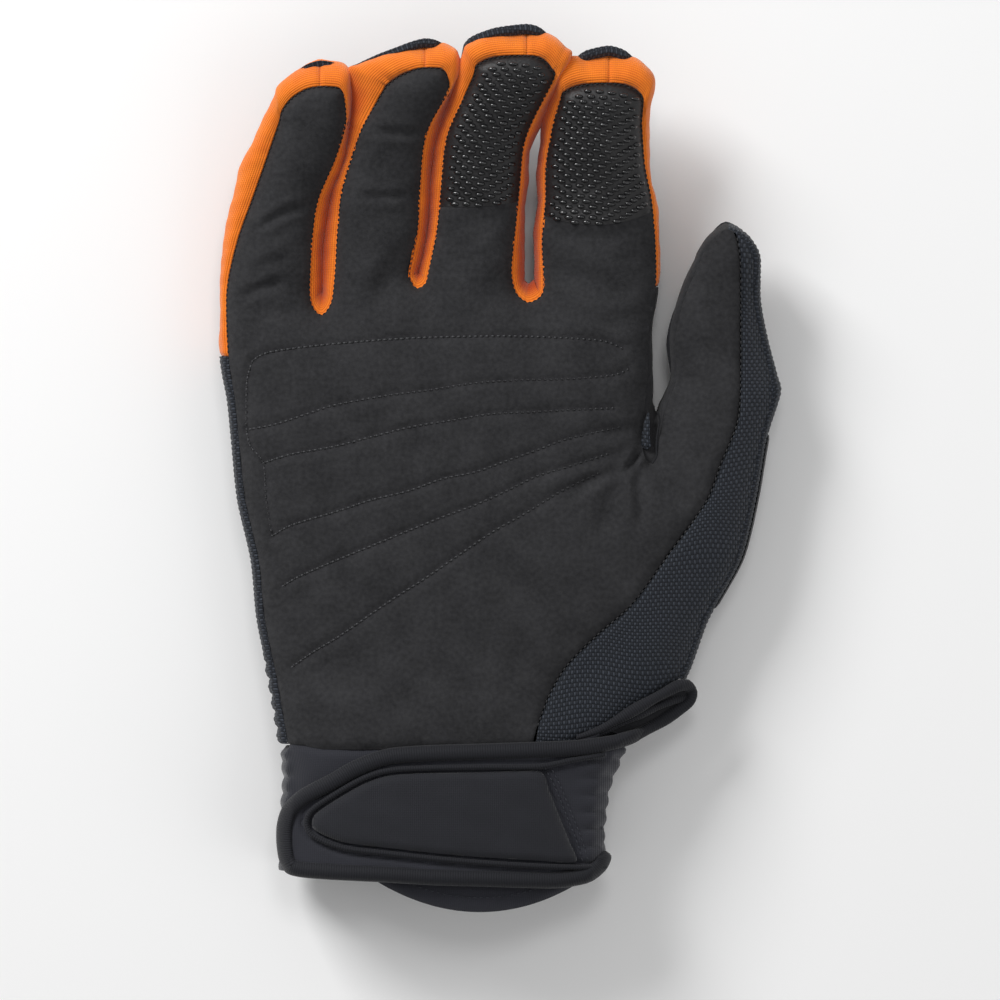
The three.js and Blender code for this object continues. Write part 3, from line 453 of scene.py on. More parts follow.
def turned_out(points, faces):
    """Faces with their outside outside, judged by the sign of the volume."""
    p = points[faces[:, 0]]
    total = 0.0
    for k in range(1, faces.shape[1] - 1):
        across = np.cross(points[faces[:, k]], points[faces[:, k + 1]])
        total += np.einsum("ij,ij->i", p, across).sum()
    return faces[:, ::-1] if total < 0 else faces


def grid_body(outer, inner, uv, closed_columns=False):
    """A closed shell between an outer and an inner grid of points."""
    rows, columns = outer.shape[:2]
    half = rows * columns
    skin = grid_faces(rows, columns, closed_columns)
    faces = [skin, skin[:, ::-1] + half]
    index = np.arange(half).reshape(rows, columns)

    def close(a, b, flip):
        quads = np.column_stack([a, a + half, b + half, b])
        faces.append(quads[:, ::-1] if flip else quads)

    if not closed_columns:
        close(index[:-1, 0], index[1:, 0], False)
        close(index[:-1, -1], index[1:, -1], True)
    for line, flip in ((index[0], True), (index[-1], False)):
        if closed_columns:
            close(line, np.roll(line, -1), flip)
        else:
            close(line[:-1], line[1:], flip)
    points = np.vstack([outer.reshape(-1, 3), inner.reshape(-1, 3)])
    return points, turned_out(points, np.vstack(faces)), np.vstack([uv.reshape(-1, 2)] * 2)


def grid_normals(grid, towards):
    """Unit normals of a grid, on the side that towards points to."""
    normal = np.cross(np.gradient(grid, axis=0), np.gradient(grid, axis=1))
    normal /= np.maximum(np.linalg.norm(normal, axis=2, keepdims=True), 1e-9)
    side = np.sign((normal * towards).sum(axis=2, keepdims=True))
    return normal * np.where(side == 0, 1, side)


def grid_uv(grid):
    """Millimetres along the rows and across the columns of a grid."""
    run = lengths(grid[:, grid.shape[1] // 2])
    steps = np.linalg.norm(np.diff(grid, axis=1), axis=2)
    across = np.concatenate([np.zeros((len(grid), 1)), np.cumsum(steps, axis=1)], axis=1)
    return np.stack([np.broadcast_to(run[:, None], across.shape), across], axis=2)


def bar_body(grid, uv):
    """A solid bar from a grid whose rows are its cross sections."""
    rows, corners = grid.shape[:2]
    points, quads = grid.reshape(-1, 3), grid_faces(rows, corners, True)
    faces = quads.tolist()
    faces.append(list(range(corners)))
    faces.append(list(range((rows - 1) * corners, rows * corners))[::-1])
    if not np.array_equal(turned_out(points, quads), quads):
        faces = [f[::-1] for f in faces]
    return points, faces, uv


def tube(centres, radius, corners=12, flat=1.0):
    """A round bar along a path; its ends are rounded off."""
    centres = np.asarray(centres, float)
    radius = np.broadcast_to(np.asarray(radius, float), len(centres)).copy()
    along = directions(centres)
    ends = []
    for point, way, r, order in ((centres[0], -along[0], radius[0], (80, 55, 25)),
                                 (centres[-1], along[-1], radius[-1], (25, 55, 80))):
        angle = np.radians(order)
        ends.append((point + way * (np.sin(angle) * r)[:, None], np.cos(angle) * r))
    centres = np.vstack([ends[0][0], centres, ends[1][0]])
    radius = np.concatenate([ends[0][1], radius, ends[1][1]])
    along = np.vstack([[along[0]] * 3, along, [along[-1]] * 3])
    side = np.column_stack([along[:, 1], -along[:, 0], np.zeros(len(along))])
    side /= np.linalg.norm(side, axis=1, keepdims=True)
    up = np.cross(side, along)
    angle = 2 * np.pi * np.arange(corners) / corners
    spokes = side[:, None] * np.cos(angle)[:, None] + up[:, None] * np.sin(angle)[:, None] * flat
    grid = centres[:, None] + radius[:, None, None] * spokes
    run = np.repeat(lengths(centres), corners)
    around = np.tile(angle * float(radius.max()), len(centres))
    return bar_body(grid, np.column_stack([run, around]))


# %% [markdown]
# ## From points to a finished piece
# Blender wants metres and one list of faces. Each piece gets a UV map in
# millimetres of cloth, smooth shading with sharp folds and one material, and the
# solids of the frame that it stands for are hidden. Its object stays at the origin.

# %% Pieces that ride on the glove
TRIANGLES = {}


def as_lists(faces):
    return faces.tolist() if hasattr(faces, "tolist") else faces


def merged(*parts):
    """Several (points, faces, uv) bodies as one."""
    points, faces, uv, start = [], [], [], 0
    for p, f, m in parts:
        points.append(p)
        uv.append(m)
        faces.extend([[i + start for i in face] for face in as_lists(f)])
        start += len(p)
    return np.vstack(points), faces, np.vstack(uv)


def mesh_of(name, points, edges=(), faces=()):
    """A mesh from points in pattern millimetres."""
    mesh = bpy.data.meshes.new(name)
    mesh.from_pydata(((points + SHIFT) / 1000).tolist(), list(edges), as_lists(faces))
    return mesh


def placed(name, data):
    """A new object in the scene."""
    thing = bpy.data.objects.new(name, data)
    bpy.context.scene.collection.objects.link(thing)
    return thing


def map_cloth(mesh, uv):
    """Store each point's place on the cloth in the UV map that the materials read."""
    layer = mesh.uv_layers.get("cloth_mm") or mesh.uv_layers.new(name="cloth_mm")
    index = np.empty(len(mesh.loops), np.int32)
    mesh.loops.foreach_get("vertex_index", index)
    layer.data.foreach_set("uv", uv[index].astype(np.float32).ravel())


def riding(name, mesh):
    """The mesh as an object that moves with the glove."""
    piece = placed(name, mesh)
    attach(piece, "root")
    TRIANGLES[name] = len(mesh.loops) - 2 * len(mesh.polygons)
    print(name, TRIANGLES[name], "triangles")
    return piece


def add_piece(name, body, material, nodes=(), sharp=55, valley_shade=None):
    """A finished piece that stands for its solids; sharp is in degrees."""
    points, faces, uv = body
    mesh = mesh_of(name, points, faces=faces)
    map_cloth(mesh, uv)
    # An optional point attribute of painted shade, which the knit material reads.
    if valley_shade is not None:
        attribute = mesh.attributes.new("valley_shade", "FLOAT", "POINT")
        attribute.data.foreach_set("value", valley_shade.astype(np.float32))
    mesh.shade_smooth()
    mesh.set_sharp_from_angle(angle=math.radians(sharp))
    mesh.materials.append(material)
    piece = riding(name, mesh)
    if nodes:
        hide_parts(*nodes)
    return piece


# %% [markdown]
# ## Materials
# Every pattern reads the UV map, which holds millimetres along the cloth. A
# thread or rib spacing is then typed in as the real size, and it follows the
# cloth round a finger, which a pattern on object coordinates wouldn't.

# %% Colour and node helpers
def linear(code):
    """An sRGB hex colour as the linear colour that a shader wants."""
    parts = [int(code[i:i + 2], 16) / 255 for i in (0, 2, 4)]
    return (*[c / 12.92 if c <= 0.04045 else ((c + 0.055) / 1.055) ** 2.4 for c in parts], 1.0)


def node(tree, kind, settings=None, links=None):
    """One node with its settings (properties, or inputs by name or number) and its links."""
    new = tree.nodes.new(kind)
    for key, value in (settings or {}).items():
        if isinstance(key, int) or key in new.inputs:
            new.inputs[key].default_value = value
        else:
            setattr(new, key, value)
    for key, socket in (links or {}).items():
        tree.links.new(socket, new.inputs[key])
    return new


def maths(tree, operation, a, b=0.0):
    """A Math node; a and b are sockets or numbers."""
    new = node(tree, "ShaderNodeMath", {"operation": operation})
    for key, value in ((0, a), (1, b)):
        if hasattr(value, "links"):
            tree.links.new(value, new.inputs[key])
        else:
            new.inputs[key].default_value = value
    return new.outputs[0]


def blended(tree, factor, low, high):
    """A colour between two, each a hex colour or a socket."""
    colours = {6: low, 7: high}
    settings = {key: linear(c) for key, c in colours.items() if isinstance(c, str)}
    links = {key: c for key, c in colours.items() if not isinstance(c, str)}
    return node(tree, "ShaderNodeMix", {"data_type": "RGBA", **settings}, {0: factor, **links}).outputs[2]


def weighed(tree, a, share_a, b, share_b):
    """The sum of two values, each times its share."""
    return maths(tree, "ADD", maths(tree, "MULTIPLY", a, share_a), maths(tree, "MULTIPLY", b, share_b))


def cloth_material(name, roughness, sheen=0.0, coat=0.0):
    """A new material, its tree, its shader and where its cloth is in millimetres."""
    material = bpy.data.materials.new(name)
    material.use_nodes = True
    tree = material.node_tree
    shader = tree.nodes["Principled BSDF"]
    shader.inputs["Roughness"].default_value = roughness
    shader.inputs["Specular IOR Level"].default_value = 0.25
    shader.inputs["Sheen Weight"].default_value = sheen
    shader.inputs["Sheen Roughness"].default_value = 0.45
    shader.inputs["Coat Weight"].default_value = coat
    place = node(tree, "ShaderNodeUVMap", {"uv_map": "cloth_mm"}).outputs[0]
    return material, tree, shader, place


def speckle(tree, place, per_mm, detail=3.0):
    """Noise whose grains are 1 / per_mm millimetres across."""
    return node(tree, "ShaderNodeTexNoise", {"Scale": per_mm, "Detail": detail}, {"Vector": place}).outputs[0]


def paint(tree, shader, colour, height, depth_mm):
    """Link a colour, and a height as a bump of a real depth in millimetres."""
    tree.links.new(colour, shader.inputs["Base Color"])
    bump_node = node(tree, "ShaderNodeBump", {"Strength": 1.0, "Distance": depth_mm / 1000}, {
        "Height": height})
    tree.links.new(bump_node.outputs[0], shader.inputs["Normal"])


# %% [markdown]
# ### Synthetic suede
# Microfibre suede has a nap of fibres a few hundredths of a millimetre thick
# that lie in soft patches. The patches show as cloudy light and dark; the
# fibres are drawn about ten times too coarse, or no pixel would catch them.

# %% Suede
def make_suede(name, dark, light):
    material, tree, shader, place = cloth_material(name, 0.95, sheen=0.06)
    cloud = speckle(tree, place, 0.12, 5.0)
    nap = speckle(tree, place, 0.9, 5.0)
    fibre = speckle(tree, place, 5.0, 2.0)
    tone = maths(tree, "SUBTRACT", weighed(tree, cloud, 0.45, nap, 0.55), 0.27)
    tone = maths(tree, "MULTIPLY", tone, 2.1)
    paint(tree, shader, blended(tree, tone, dark, light), weighed(tree, nap, 0.6, fibre, 0.4), 0.26)
    return material


suede = make_suede("synthetic_suede_charcoal", "1C1C1E", "373739")

# %% [markdown]
# ### Ribbed knit
# The knit of the side strips is polyester and spandex, knitted in fine ribs
# along the finger. A rib is a sine wave across the cloth, and a finer wave the
# other way is its loops. Real ribs are 0.4 mm apart; here 0.6, so they show.

# %% Knit
def ribs(tree, value, pitch):
    """A row of round ribs, 0 in the grooves and 1 on top, pitch millimetres apart."""
    return maths(tree, "ABSOLUTE", maths(tree, "SINE", maths(tree, "MULTIPLY", value, math.pi / pitch)))


def cloth_axes(tree, place):
    """Millimetres along and across the cloth."""
    axes = node(tree, "ShaderNodeSeparateXYZ", None, {0: place})
    return axes.outputs[0], axes.outputs[1]


def make_knit(name, dark, light, deep, pitch=0.6):
    material, tree, shader, place = cloth_material(name, 0.8, sheen=0.25)
    along, across = cloth_axes(tree, place)
    rib = ribs(tree, across, pitch)
    loop = ribs(tree, along, 0.55)
    tone = weighed(tree, rib, 0.4, speckle(tree, place, 0.12, 3.0), 0.7)
    # Painted shade: the knit turns darker and redder in the valleys between two fingers, where little light
    # reaches.
    low = node(tree, "ShaderNodeAttribute", {"attribute_name": "valley_shade"}).outputs["Fac"]
    colour = blended(tree, low, blended(tree, tone, dark, light), deep)
    paint(tree, shader, colour, weighed(tree, rib, 1.0, loop, 0.35), 0.12)
    return material


knit_orange = make_knit("stretch_knit_orange", "CC5012", "FA8A20", "A52E0C")

# %% [markdown]
# ### Coarse woven cloth
# The back is woven from thick flat yarns. The pattern is a chessboard: one
# square shows the yarn that runs up, the next the yarn that runs across. A
# slow drift bends the rows a little, because a perfect grid looks printed.

# %% Weave
def make_weave(name, deep, warp_colour, weft_colour, wide=0.64, tall=0.98):
    material, tree, shader, place = cloth_material(name, 0.72, sheen=0.1)
    wobble = speckle(tree, place, 0.7, 2.0)
    drift = speckle(tree, place, 0.035, 1.0)
    along, across = cloth_axes(tree, place)
    wavy = maths(tree, "ADD", along, maths(tree, "MULTIPLY", wobble, 0.35))
    a = maths(tree, "DIVIDE", wavy, wide)
    b = maths(tree, "DIVIDE", maths(tree, "ADD", across, weighed(tree, wobble, 0.3, drift, 9.0)), tall)
    squares = maths(tree, "ADD", maths(tree, "FLOOR", a), maths(tree, "FLOOR", b))
    chess = maths(tree, "FLOORED_MODULO", squares, 2.0)
    both = maths(tree, "MULTIPLY", maths(tree, "POWER", ribs(tree, a, 1.0), 0.6),
                 maths(tree, "POWER", ribs(tree, b, 1.0), 0.6))
    raised = maths(tree, "MULTIPLY", both, maths(tree, "ADD", 0.75, maths(tree, "MULTIPLY", chess, 0.25)))
    yarn = blended(tree, chess, weft_colour, warp_colour)
    paint(tree, shader, blended(tree, raised, deep, yarn), raised, 0.26)
    return material


weave_navy = make_weave("coarse_woven_navy", "0E1117", "3C414A", "242931")

# %% [markdown]
# ### Jersey and binding tape
# The cuff and strap are neoprene foam faced with a fine jersey, which shows as
# soft wales up and courses across, half a millimetre apart. The binding is a
# ribbed tape, darker and a little tighter.

# %% Jersey and tape
def make_jersey(name, dark, light, pitch=0.5):
    material, tree, shader, place = cloth_material(name, 0.78, sheen=0.3)
    along, across = cloth_axes(tree, place)
    loops = weighed(tree, ribs(tree, along, pitch), 0.45, ribs(tree, across, 0.42), 0.2)
    tone = weighed(tree, loops, 1.0, speckle(tree, place, 0.15, 3.0), 0.45)
    paint(tree, shader, blended(tree, tone, dark, light), loops, 0.12)
    return material


def make_tape(name, dark, light, pitch=0.62):
    material, tree, shader, place = cloth_material(name, 0.75, sheen=0.1)
    rib = ribs(tree, cloth_axes(tree, place)[0], pitch)
    tone = weighed(tree, rib, 0.6, speckle(tree, place, 2.0, 2.0), 0.4)
    paint(tree, shader, blended(tree, tone, dark, light), rib, 0.09)
    return material


jersey_navy = make_jersey("jersey_faced_neoprene", "17181D", "2B2C34")
jersey_panel = make_jersey("jersey_faced_neoprene_panel", "131419", "222329")
tape_navy = make_tape("ribbed_binding_tape", "0B0C10", "1F2026")

# %% [markdown]
# ### Rubber, silicone and thread
# Moulded rubber is dull with a faint grain. Printed silicone is smooth and
# shiny, which is why the fingertips glint. Thread is twisted polyester.

# %% Rubber, silicone, thread
def make_plain(name, dark, light, roughness, per_mm, depth, coat=0.0):
    material, tree, shader, place = cloth_material(name, roughness, coat=coat)
    shader.inputs["Specular IOR Level"].default_value = 0.5
    grain = speckle(tree, place, per_mm, 3.0)
    paint(tree, shader, blended(tree, grain, dark, light), grain, depth)
    return material


rubber = make_plain("moulded_rubber_black", "08090B", "111215", 0.6, 0.8, 0.05)
silicone = make_plain("printed_silicone_dots", "0B0B0D", "151518", 0.2, 0.6, 0.02, coat=0.4)
silicone_film = make_plain("silicone_printed_cloth", "0E0D0F", "1B1A1C", 0.55, 1.2, 0.2)
thread_grey = make_plain("polyester_thread_grey", "2C2C2F", "48484B", 0.6, 4.0, 0.05)
thread_navy = make_plain("polyester_thread_navy", "1B1D24", "2C2E37", 0.6, 4.0, 0.05)
# Black thread for the seams; the same black is also painted shade in the quilting's needle holes.
black_thread_and_shade = make_plain("polyester_thread_black_and_hole_shade", "08080A", "1A1A1E", 0.6, 4.0, 0.05)
# Black lining for the hidden seam tape and the wrist pocket; it also stands as painted shade in the thumb's
# crease and on its inner rim.
lining_and_shade = make_plain("brushed_lining_black_and_shade", "0E0F12", "1A1B20", 0.95, 1.2, 0.15)
print("materials:", len(bpy.data.materials))

# %% [markdown]
# ## The suede palm
# One piece of suede covers the palm, the fronts of four fingers and the thumb.
# It could be sculpted, but the marks that matter are known lines: six quilting
# seams, a few folds, and an edge that rolls under where it is sewn. Each one
# pushes the height down or up by its distance from the vertex.

# %% Lines on the palm
HALF, LOW, CUT = GAP / 2, 0.45, 0.03
WRIST_Y, WRIST_RISE = -69.3, 17.4
THUMB_TIP = MARK["thumbTip"] + 0.75
LEFT_LOW = MARK["wristLeft"] + 0.02
RIGHT_LOW = MARK["wristRight"] - 0.02
WRIST_LEFT, WRIST_RIGHT = contour([MARK["wristLeft"], MARK["wristRight"]])
# The inner ends of the wrist line, where the palm and the back meet the thumb panel.
PALM_CORNER_X, BACK_CORNER_X, WRIST_INSET = 7.4, 23.2, 4
QUILT_PIXELS = [
    [(252, 361), (270, 352), (332, 344), (414, 338), (506, 336), (567, 338), (604, 341), (622, 348)],
    [(250, 429), (276, 424), (313, 412), (335, 405), (384, 396), (430, 390), (475, 383), (521, 380),
     (567, 379), (613, 375), (628, 369)],
    [(263, 463), (292, 454), (332, 447), (371, 437), (411, 427), (454, 420), (491, 414), (531, 412),
     (567, 410), (613, 408)],
    [(272, 536), (292, 525), (338, 511), (371, 500), (408, 491), (442, 479), (475, 472), (506, 461),
     (537, 450), (567, 439), (619, 427)],
    [(283, 586), (298, 577), (332, 562), (371, 546), (405, 532), (445, 516), (475, 505), (506, 491),
     (537, 476), (567, 467), (607, 454)],
    [(292, 667), (313, 652), (338, 637), (371, 614), (399, 595), (427, 577), (463, 552), (494, 531),
     (524, 514), (561, 491), (598, 473)],
    [(252, 361), (247, 379), (246, 401), (246, 429)],
    [(246, 429), (250, 446), (263, 463), (266, 500), (272, 536)],
]
QUILT = [curve([at_pixel(*p) for p in line], 1.0) for line in QUILT_PIXELS]
# Each fold is its pixels, its depth and its width in millimetres.
FOLDS = [
    ([(255, 231), (283, 213), (311, 206)], 1.0, 1.2), ([(250, 272), (272, 262), (290, 258)], 0.6, 1.5),
    ([(238, 299), (258, 289), (285, 281)], 0.9, 1.2), ([(366, 130), (395, 134), (430, 133)], 0.9, 1.2),
    ([(353, 194), (380, 197), (412, 195)], 0.9, 1.1), ([(350, 245), (362, 256), (378, 258)], 0.7, 2.4),
    ([(643, 447), (635, 459), (624, 473)], 1.3, 0.9), ([(635, 478), (636, 489), (638, 502)], 0.8, 1.0),
    ([(648, 404), (643, 418), (640, 446)], 0.8, 0.8),
    ([(345, 330), (378, 300), (398, 268), (410, 240)], 1.2, 4.0),
    ([(455, 330), (480, 305), (500, 280)], 0.7, 4.0),
    ([(548, 225), (585, 238), (640, 232)], 0.7, 2.2), ([(556, 262), (590, 284), (648, 288)], 0.7, 2.6),
    ([(250, 318), (275, 312), (300, 316)], 0.5, 2.0), ([(560, 310), (600, 322), (640, 318)], 0.5, 2.2),
    ([(637, 468), (641, 492), (640, 530)], 1.1, 1.5), ([(632, 470), (612, 500), (600, 545)], 0.9, 2.6),
    ([(630, 462), (600, 476), (560, 502)], 0.9, 1.6), ([(655, 476), (680, 500), (690, 545)], 0.6, 3.2),
    ([(628, 452), (600, 462), (575, 466)], 0.6, 1.4), ([(640, 425), (622, 432), (600, 436)], 0.5, 1.4),
    ([(300, 690), (360, 660), (420, 650)], 0.35, 5.0), ([(480, 600), (540, 590), (590, 600)], 0.3, 6.0),
    ([(455, 215), (480, 222), (510, 216)], 0.35, 2.6),
]


def near_line(x, y, line):
    """Distance to a line, and the length run along it."""
    best, run = np.full(len(x), 1e9), np.zeros(len(x))
    start = lengths(line)
    for i, ((ax, ay), (bx, by)) in enumerate(zip(line[:-1], line[1:])):
        dx, dy = bx - ax, by - ay
        size = math.hypot(dx, dy)
        t = np.clip(((x - ax) * dx + (y - ay) * dy) / size**2, 0, 1)
        ex, ey = x - ax - t * dx, y - ay - t * dy
        d = np.hypot(ex, ey)
        closer = d < best
        best[closer] = d[closer]
        run[closer] = start[i] + t[closer] * size
    return best, run


def wrist_line(x):
    """Where the panels end and the cuff begins."""
    f = (x - WRIST_LEFT[0]) / (WRIST_RIGHT[0] - WRIST_LEFT[0])
    left = WRIST_LEFT[1] + (WRIST_Y - WRIST_LEFT[1]) * smooth(0, 0.1, f)
    return left + WRIST_RISE * np.clip((f - 0.6) / 0.4, 0, 1) ** 2


def wrist_points(start, stop, lift, step=0.8):
    x = np.linspace(start, stop, max(2, round(abs(stop - start) / step)))
    return np.column_stack([x, wrist_line(x) + lift])


def moved_seam(st, out):
    """The palm seam moved outwards."""
    return st[:, 0:2] + st[:, 5:7] * out


def moved_back(st, out):
    """The back seam moved outwards."""
    return back_point(st) + st[:, 7:9] * out


woven_curve = curve(WOVEN_SEAM, 0.8)
back_curve = curve(BACK_SEAM, 0.8)
palm_parts = [
    moved_seam(samples(LEFT_LOW, MARK["stripEnd"] + CUT, 0.6), -HALF),
    moved_seam(samples(MARK["stripEnd"] + 2 * CUT, THUMB_TIP, 0.6), 0.0),
    pushed(woven_curve, -HALF),
    wrist_points(PALM_CORNER_X, WRIST_LEFT[0] + WRIST_INSET, LOW)]
palm_loop = np.vstack(palm_parts)
print("quilting lines:", len(QUILT), "folds:", len(FOLDS))

# %% [markdown]
# ### Letting the suede swell between its seams
# Sewn cloth is a little longer than the line it is sewn along, so it buckles
# between the seams. A coarse copy of the palm is pinned along its outline and
# the quilting, made two per cent too large and blown up softly from inside.
# It works at ten times the size, where the solver's default forces fit.

# %% Cloth simulation of the palm
PRESSURE, SLACK, SWELL_LIMIT, SETTLE_FRAMES = 4.0, 0.02, 1.2, 20
COARSE_STEP, PIN_REACH = 2.2, 1.2
MM_PER_UNIT = 100  # ten times the real size


def pinned_sheet(flat, faces):
    """The coarse palm at ten times its size, with its seams in a pin group."""
    mesh = bpy.data.meshes.new("coarse_palm")
    points = np.column_stack([flat, palm_height(*flat.T)]) / MM_PER_UNIT
    mesh.from_pydata(points.tolist(), [], faces.tolist())
    sheet = placed("coarse_palm", mesh)
    distance = nearest(palm_loop, flat)[0]
    for line in QUILT:
        distance = np.minimum(distance, near_line(*flat.T, line)[0])
    pins = sheet.vertex_groups.new(name="sewn")
    pins.add(np.flatnonzero(distance < PIN_REACH).tolist(), 1.0, "REPLACE")
    return sheet


def settled_palm():
    """How far each coarse point rises or sinks when the cloth has settled."""
    flat, faces = filled(palm_loop, COARSE_STEP)
    sheet = pinned_sheet(flat, faces)
    cloth = sheet.modifiers.new("settle", "CLOTH").settings
    cloth.quality = 5
    cloth.mass = 0.02
    cloth.tension_stiffness = cloth.compression_stiffness = 8.0
    cloth.shear_stiffness = 4.0
    cloth.bending_stiffness = 0.3
    cloth.use_pressure = True
    cloth.uniform_pressure_force = PRESSURE
    cloth.effector_weights.gravity = 0.0
    cloth.vertex_group_mass = "sewn"
    cloth.shrink_min = -SLACK
    for frame_number in range(1, SETTLE_FRAMES + 1):
        bpy.context.scene.frame_set(frame_number)
    result = sheet.evaluated_get(bpy.context.evaluated_depsgraph_get()).data
    moved = np.empty(len(result.vertices) * 3, np.float32)
    result.vertices.foreach_get("co", moved)
    rise = moved.reshape(-1, 3)[:, 2] * MM_PER_UNIT - palm_height(*flat.T)
    bpy.data.objects.remove(sheet)
    bpy.context.scene.frame_set(1)
    return flat, SWELL_LIMIT * np.tanh(rise / 2 / SWELL_LIMIT)


def spread(flat, value, neighbours=4, reach=3):
    """Scattered values as a smooth raster, from the closest few of them."""
    tree = search_tree(flat)
    raster = np.zeros((RASTER_SIZE[1], RASTER_SIZE[0]))
    xs = RASTER_LOW[0] + RASTER * np.arange(RASTER_SIZE[0])
    ys = RASTER_LOW[1] + RASTER * np.arange(RASTER_SIZE[1])
    for j, y in enumerate(ys):
        for i, x in enumerate(xs):
            found = tree.find_n((x, y, 0.0), neighbours)
            if found[0][2] < reach:
                weight = np.array([1 / (0.3 + f[2] ** 2) for f in found])
                raster[j, i] = (weight * value[[f[1] for f in found]]).sum() / weight.sum()
    return raster


swell_raster = spread(*settled_palm())
print("palm swells by up to", round(float(swell_raster.max()), 2), "mm")

# %% [markdown]
# ### Grooves, folds and slack
# The quilting presses a groove along every line of stitches, deeper at each
# stitch. Each fold is a short line traced on the photo, and the slack is a
# pair of slow waves. All depths and widths are millimetres.

# %% Marks on the palm
GROOVE, PUCKER, GROOVE_WIDTH, PUCKER_PITCH = 0.34, 0.16, 0.75, 2.1
BESIDE, BESIDE_AT, BESIDE_WIDTH = 0.16, 2.4, 1.5
KNOB_PIXEL, KNOB = (644, 459), 1.1


def palm_marks(x, y):
    """How far swell, quilting, folds and slack move the suede up or down."""
    move = read_raster(swell_raster, x, y)
    for line in QUILT:
        d, run = near_line(x, y, line)
        pucker = 0.5 + 0.5 * np.cos(2 * np.pi * run / PUCKER_PITCH)
        move -= (GROOVE + PUCKER * pucker) * bump(d, GROOVE_WIDTH)
        move += BESIDE * bump(d - BESIDE_AT, BESIDE_WIDTH)
    for pixels, depth, width in FOLDS:
        line = curve([at_pixel(*p) for p in pixels], 2.0)
        d, run = near_line(x, y, line)
        part = run / lengths(line)[-1]
        fade = smooth(-0.05, 0.3, part) * smooth(1.05, 0.7, part)
        move -= depth * fade * bump(d, width)
        move += 0.45 * depth * fade * bump(d - 1.7 * width, width)
    slack = 0.3 * np.sin(0.21 * x + 0.13 * y + 1.3) * np.sin(0.17 * y - 0.08 * x)
    slack += 0.14 * np.sin(0.45 * x + 0.2 * y) * np.sin(0.38 * y - 0.2 * x + 2)
    # The suede is pinched into a small knob under the corner of the thumb.
    knob_x, knob_y = at_pixel(*KNOB_PIXEL)
    move += KNOB * np.exp(-((x - knob_x) / 1.3) ** 2 - ((y - knob_y) / 1.9) ** 2)
    return move + slack * smooth(0, 8, read_raster(palm_raster, x, y))


def surface(x, y):
    """The suede's true height with its marks."""
    return palm_height(x, y) + palm_marks(x, y)


print("the knob stands", round(float(palm_marks(*np.array([at_pixel(*KNOB_PIXEL)]).T)[0]), 2), "mm high")

# %% [markdown]
# ### The suede itself
# The outline is filled with triangles of about 0.85 mm and lifted to the marked
# height. Its edge rolls down into the seam, a little deeper at every stitch,
# as leather does where a machine has pulled it tight.

# %% Build the palm
STITCH_PITCH, EDGE_WIDTH = 1.25, 0.9
# Depth of the rolled edge: round the fingers, the thumb crotch, the woven seam and
# the wrist. The suede turns into the crotch with no seam, so it hardly rolls there.
EDGE_DEPTHS = (0.75, 0.1, 0.75, 0.6)


def rolled_edge(loop, points, depth, width=EDGE_WIDTH, pitch=STITCH_PITCH):
    """How far an edge sinks into its seam, a little deeper at every stitch."""
    distance, index = nearest(loop, points)
    run = lengths(np.vstack([loop, loop[:1]]))[index]
    depth = np.broadcast_to(depth, len(loop))[index]
    return -depth * (1 + 0.1 * np.cos(2 * np.pi * run / pitch)) * bump(distance, width)


palm_edge = np.concatenate([np.full(len(part), depth) for part, depth in zip(palm_parts, EDGE_DEPTHS)])
flat, faces = filled(palm_loop, 0.85)
x, y = flat.T
top = palm_height(x, y) + palm_marks(x, y) + rolled_edge(palm_loop, flat, palm_edge)
under = palm_height(x, y) - SUEDE * steepness(palm_height, x, y) - 0.3
add_piece("palm_suede", face_body(flat, faces, top, under), suede, ["palm_panel"])

# %% [markdown]
# ## The knitted side strips
# The side strips, or fourchettes, give each finger its depth. Each is a grid
# swept from the palm seam round to the back seam. At a fingertip it stops
# short of the edge, so that the woven back can turn up behind it as a rim.

# %% Strips between the fingers
STRIP_COLUMNS = 22
# First and last x of the rim that shows behind a fingertip, and its width.
RIMS = {"pinky": (-51.4, -38.0, 0.24), "ring": (-38.4, -13.2, 0.85),
        "middle": (-11.4, 12.6, 1.05), "index": (17.2, 33.6, 1.1)}
TIPS_Y = 92  # only the tips lie above this


def rim_width(st):
    """Width of the woven rim beyond the knit, zero away from the tips."""
    width = np.zeros(len(st))
    x = st[:, 2]
    for low, high, size in RIMS.values():
        inside_x = smooth(low, low + 4, x) * smooth(high, high - 4, x)
        width = np.maximum(width, size * inside_x * (st[:, 3] > TIPS_Y))
    return width


def slit_width(st):
    """Negative where two strips bulge against each other and close the slit."""
    x, y = st[:, 2], st[:, 3]
    near_ring = smooth(-52, -46, x) * smooth(-4, -8, x) * smooth(105, 98, y)
    near_index = smooth(6, 9, x) * smooth(24, 19, x) * smooth(80, 86, y) * smooth(104, 99, y)
    return -0.85 * np.maximum(near_ring, near_index)


def slit_dip(st):
    """1 where a strip faces another finger and folds down into the slit, which also sets where painted shade
    falls on the knit.
    """
    x, y = st[:, 2], st[:, 3]
    return smooth(-54, -47, x) * smooth(26, 20, x) * smooth(101, 90, y) * (y > 40)


def side_arc(t):
    """Angle round the side at t, and how far the side bulges there, 0 to 1."""
    angle = SEAM_ANGLE + (math.pi - 2 * SEAM_ANGLE) * t
    low = math.sin(SEAM_ANGLE)
    return angle, np.clip((np.sin(angle) - low) / (1 - low), 0, 1)


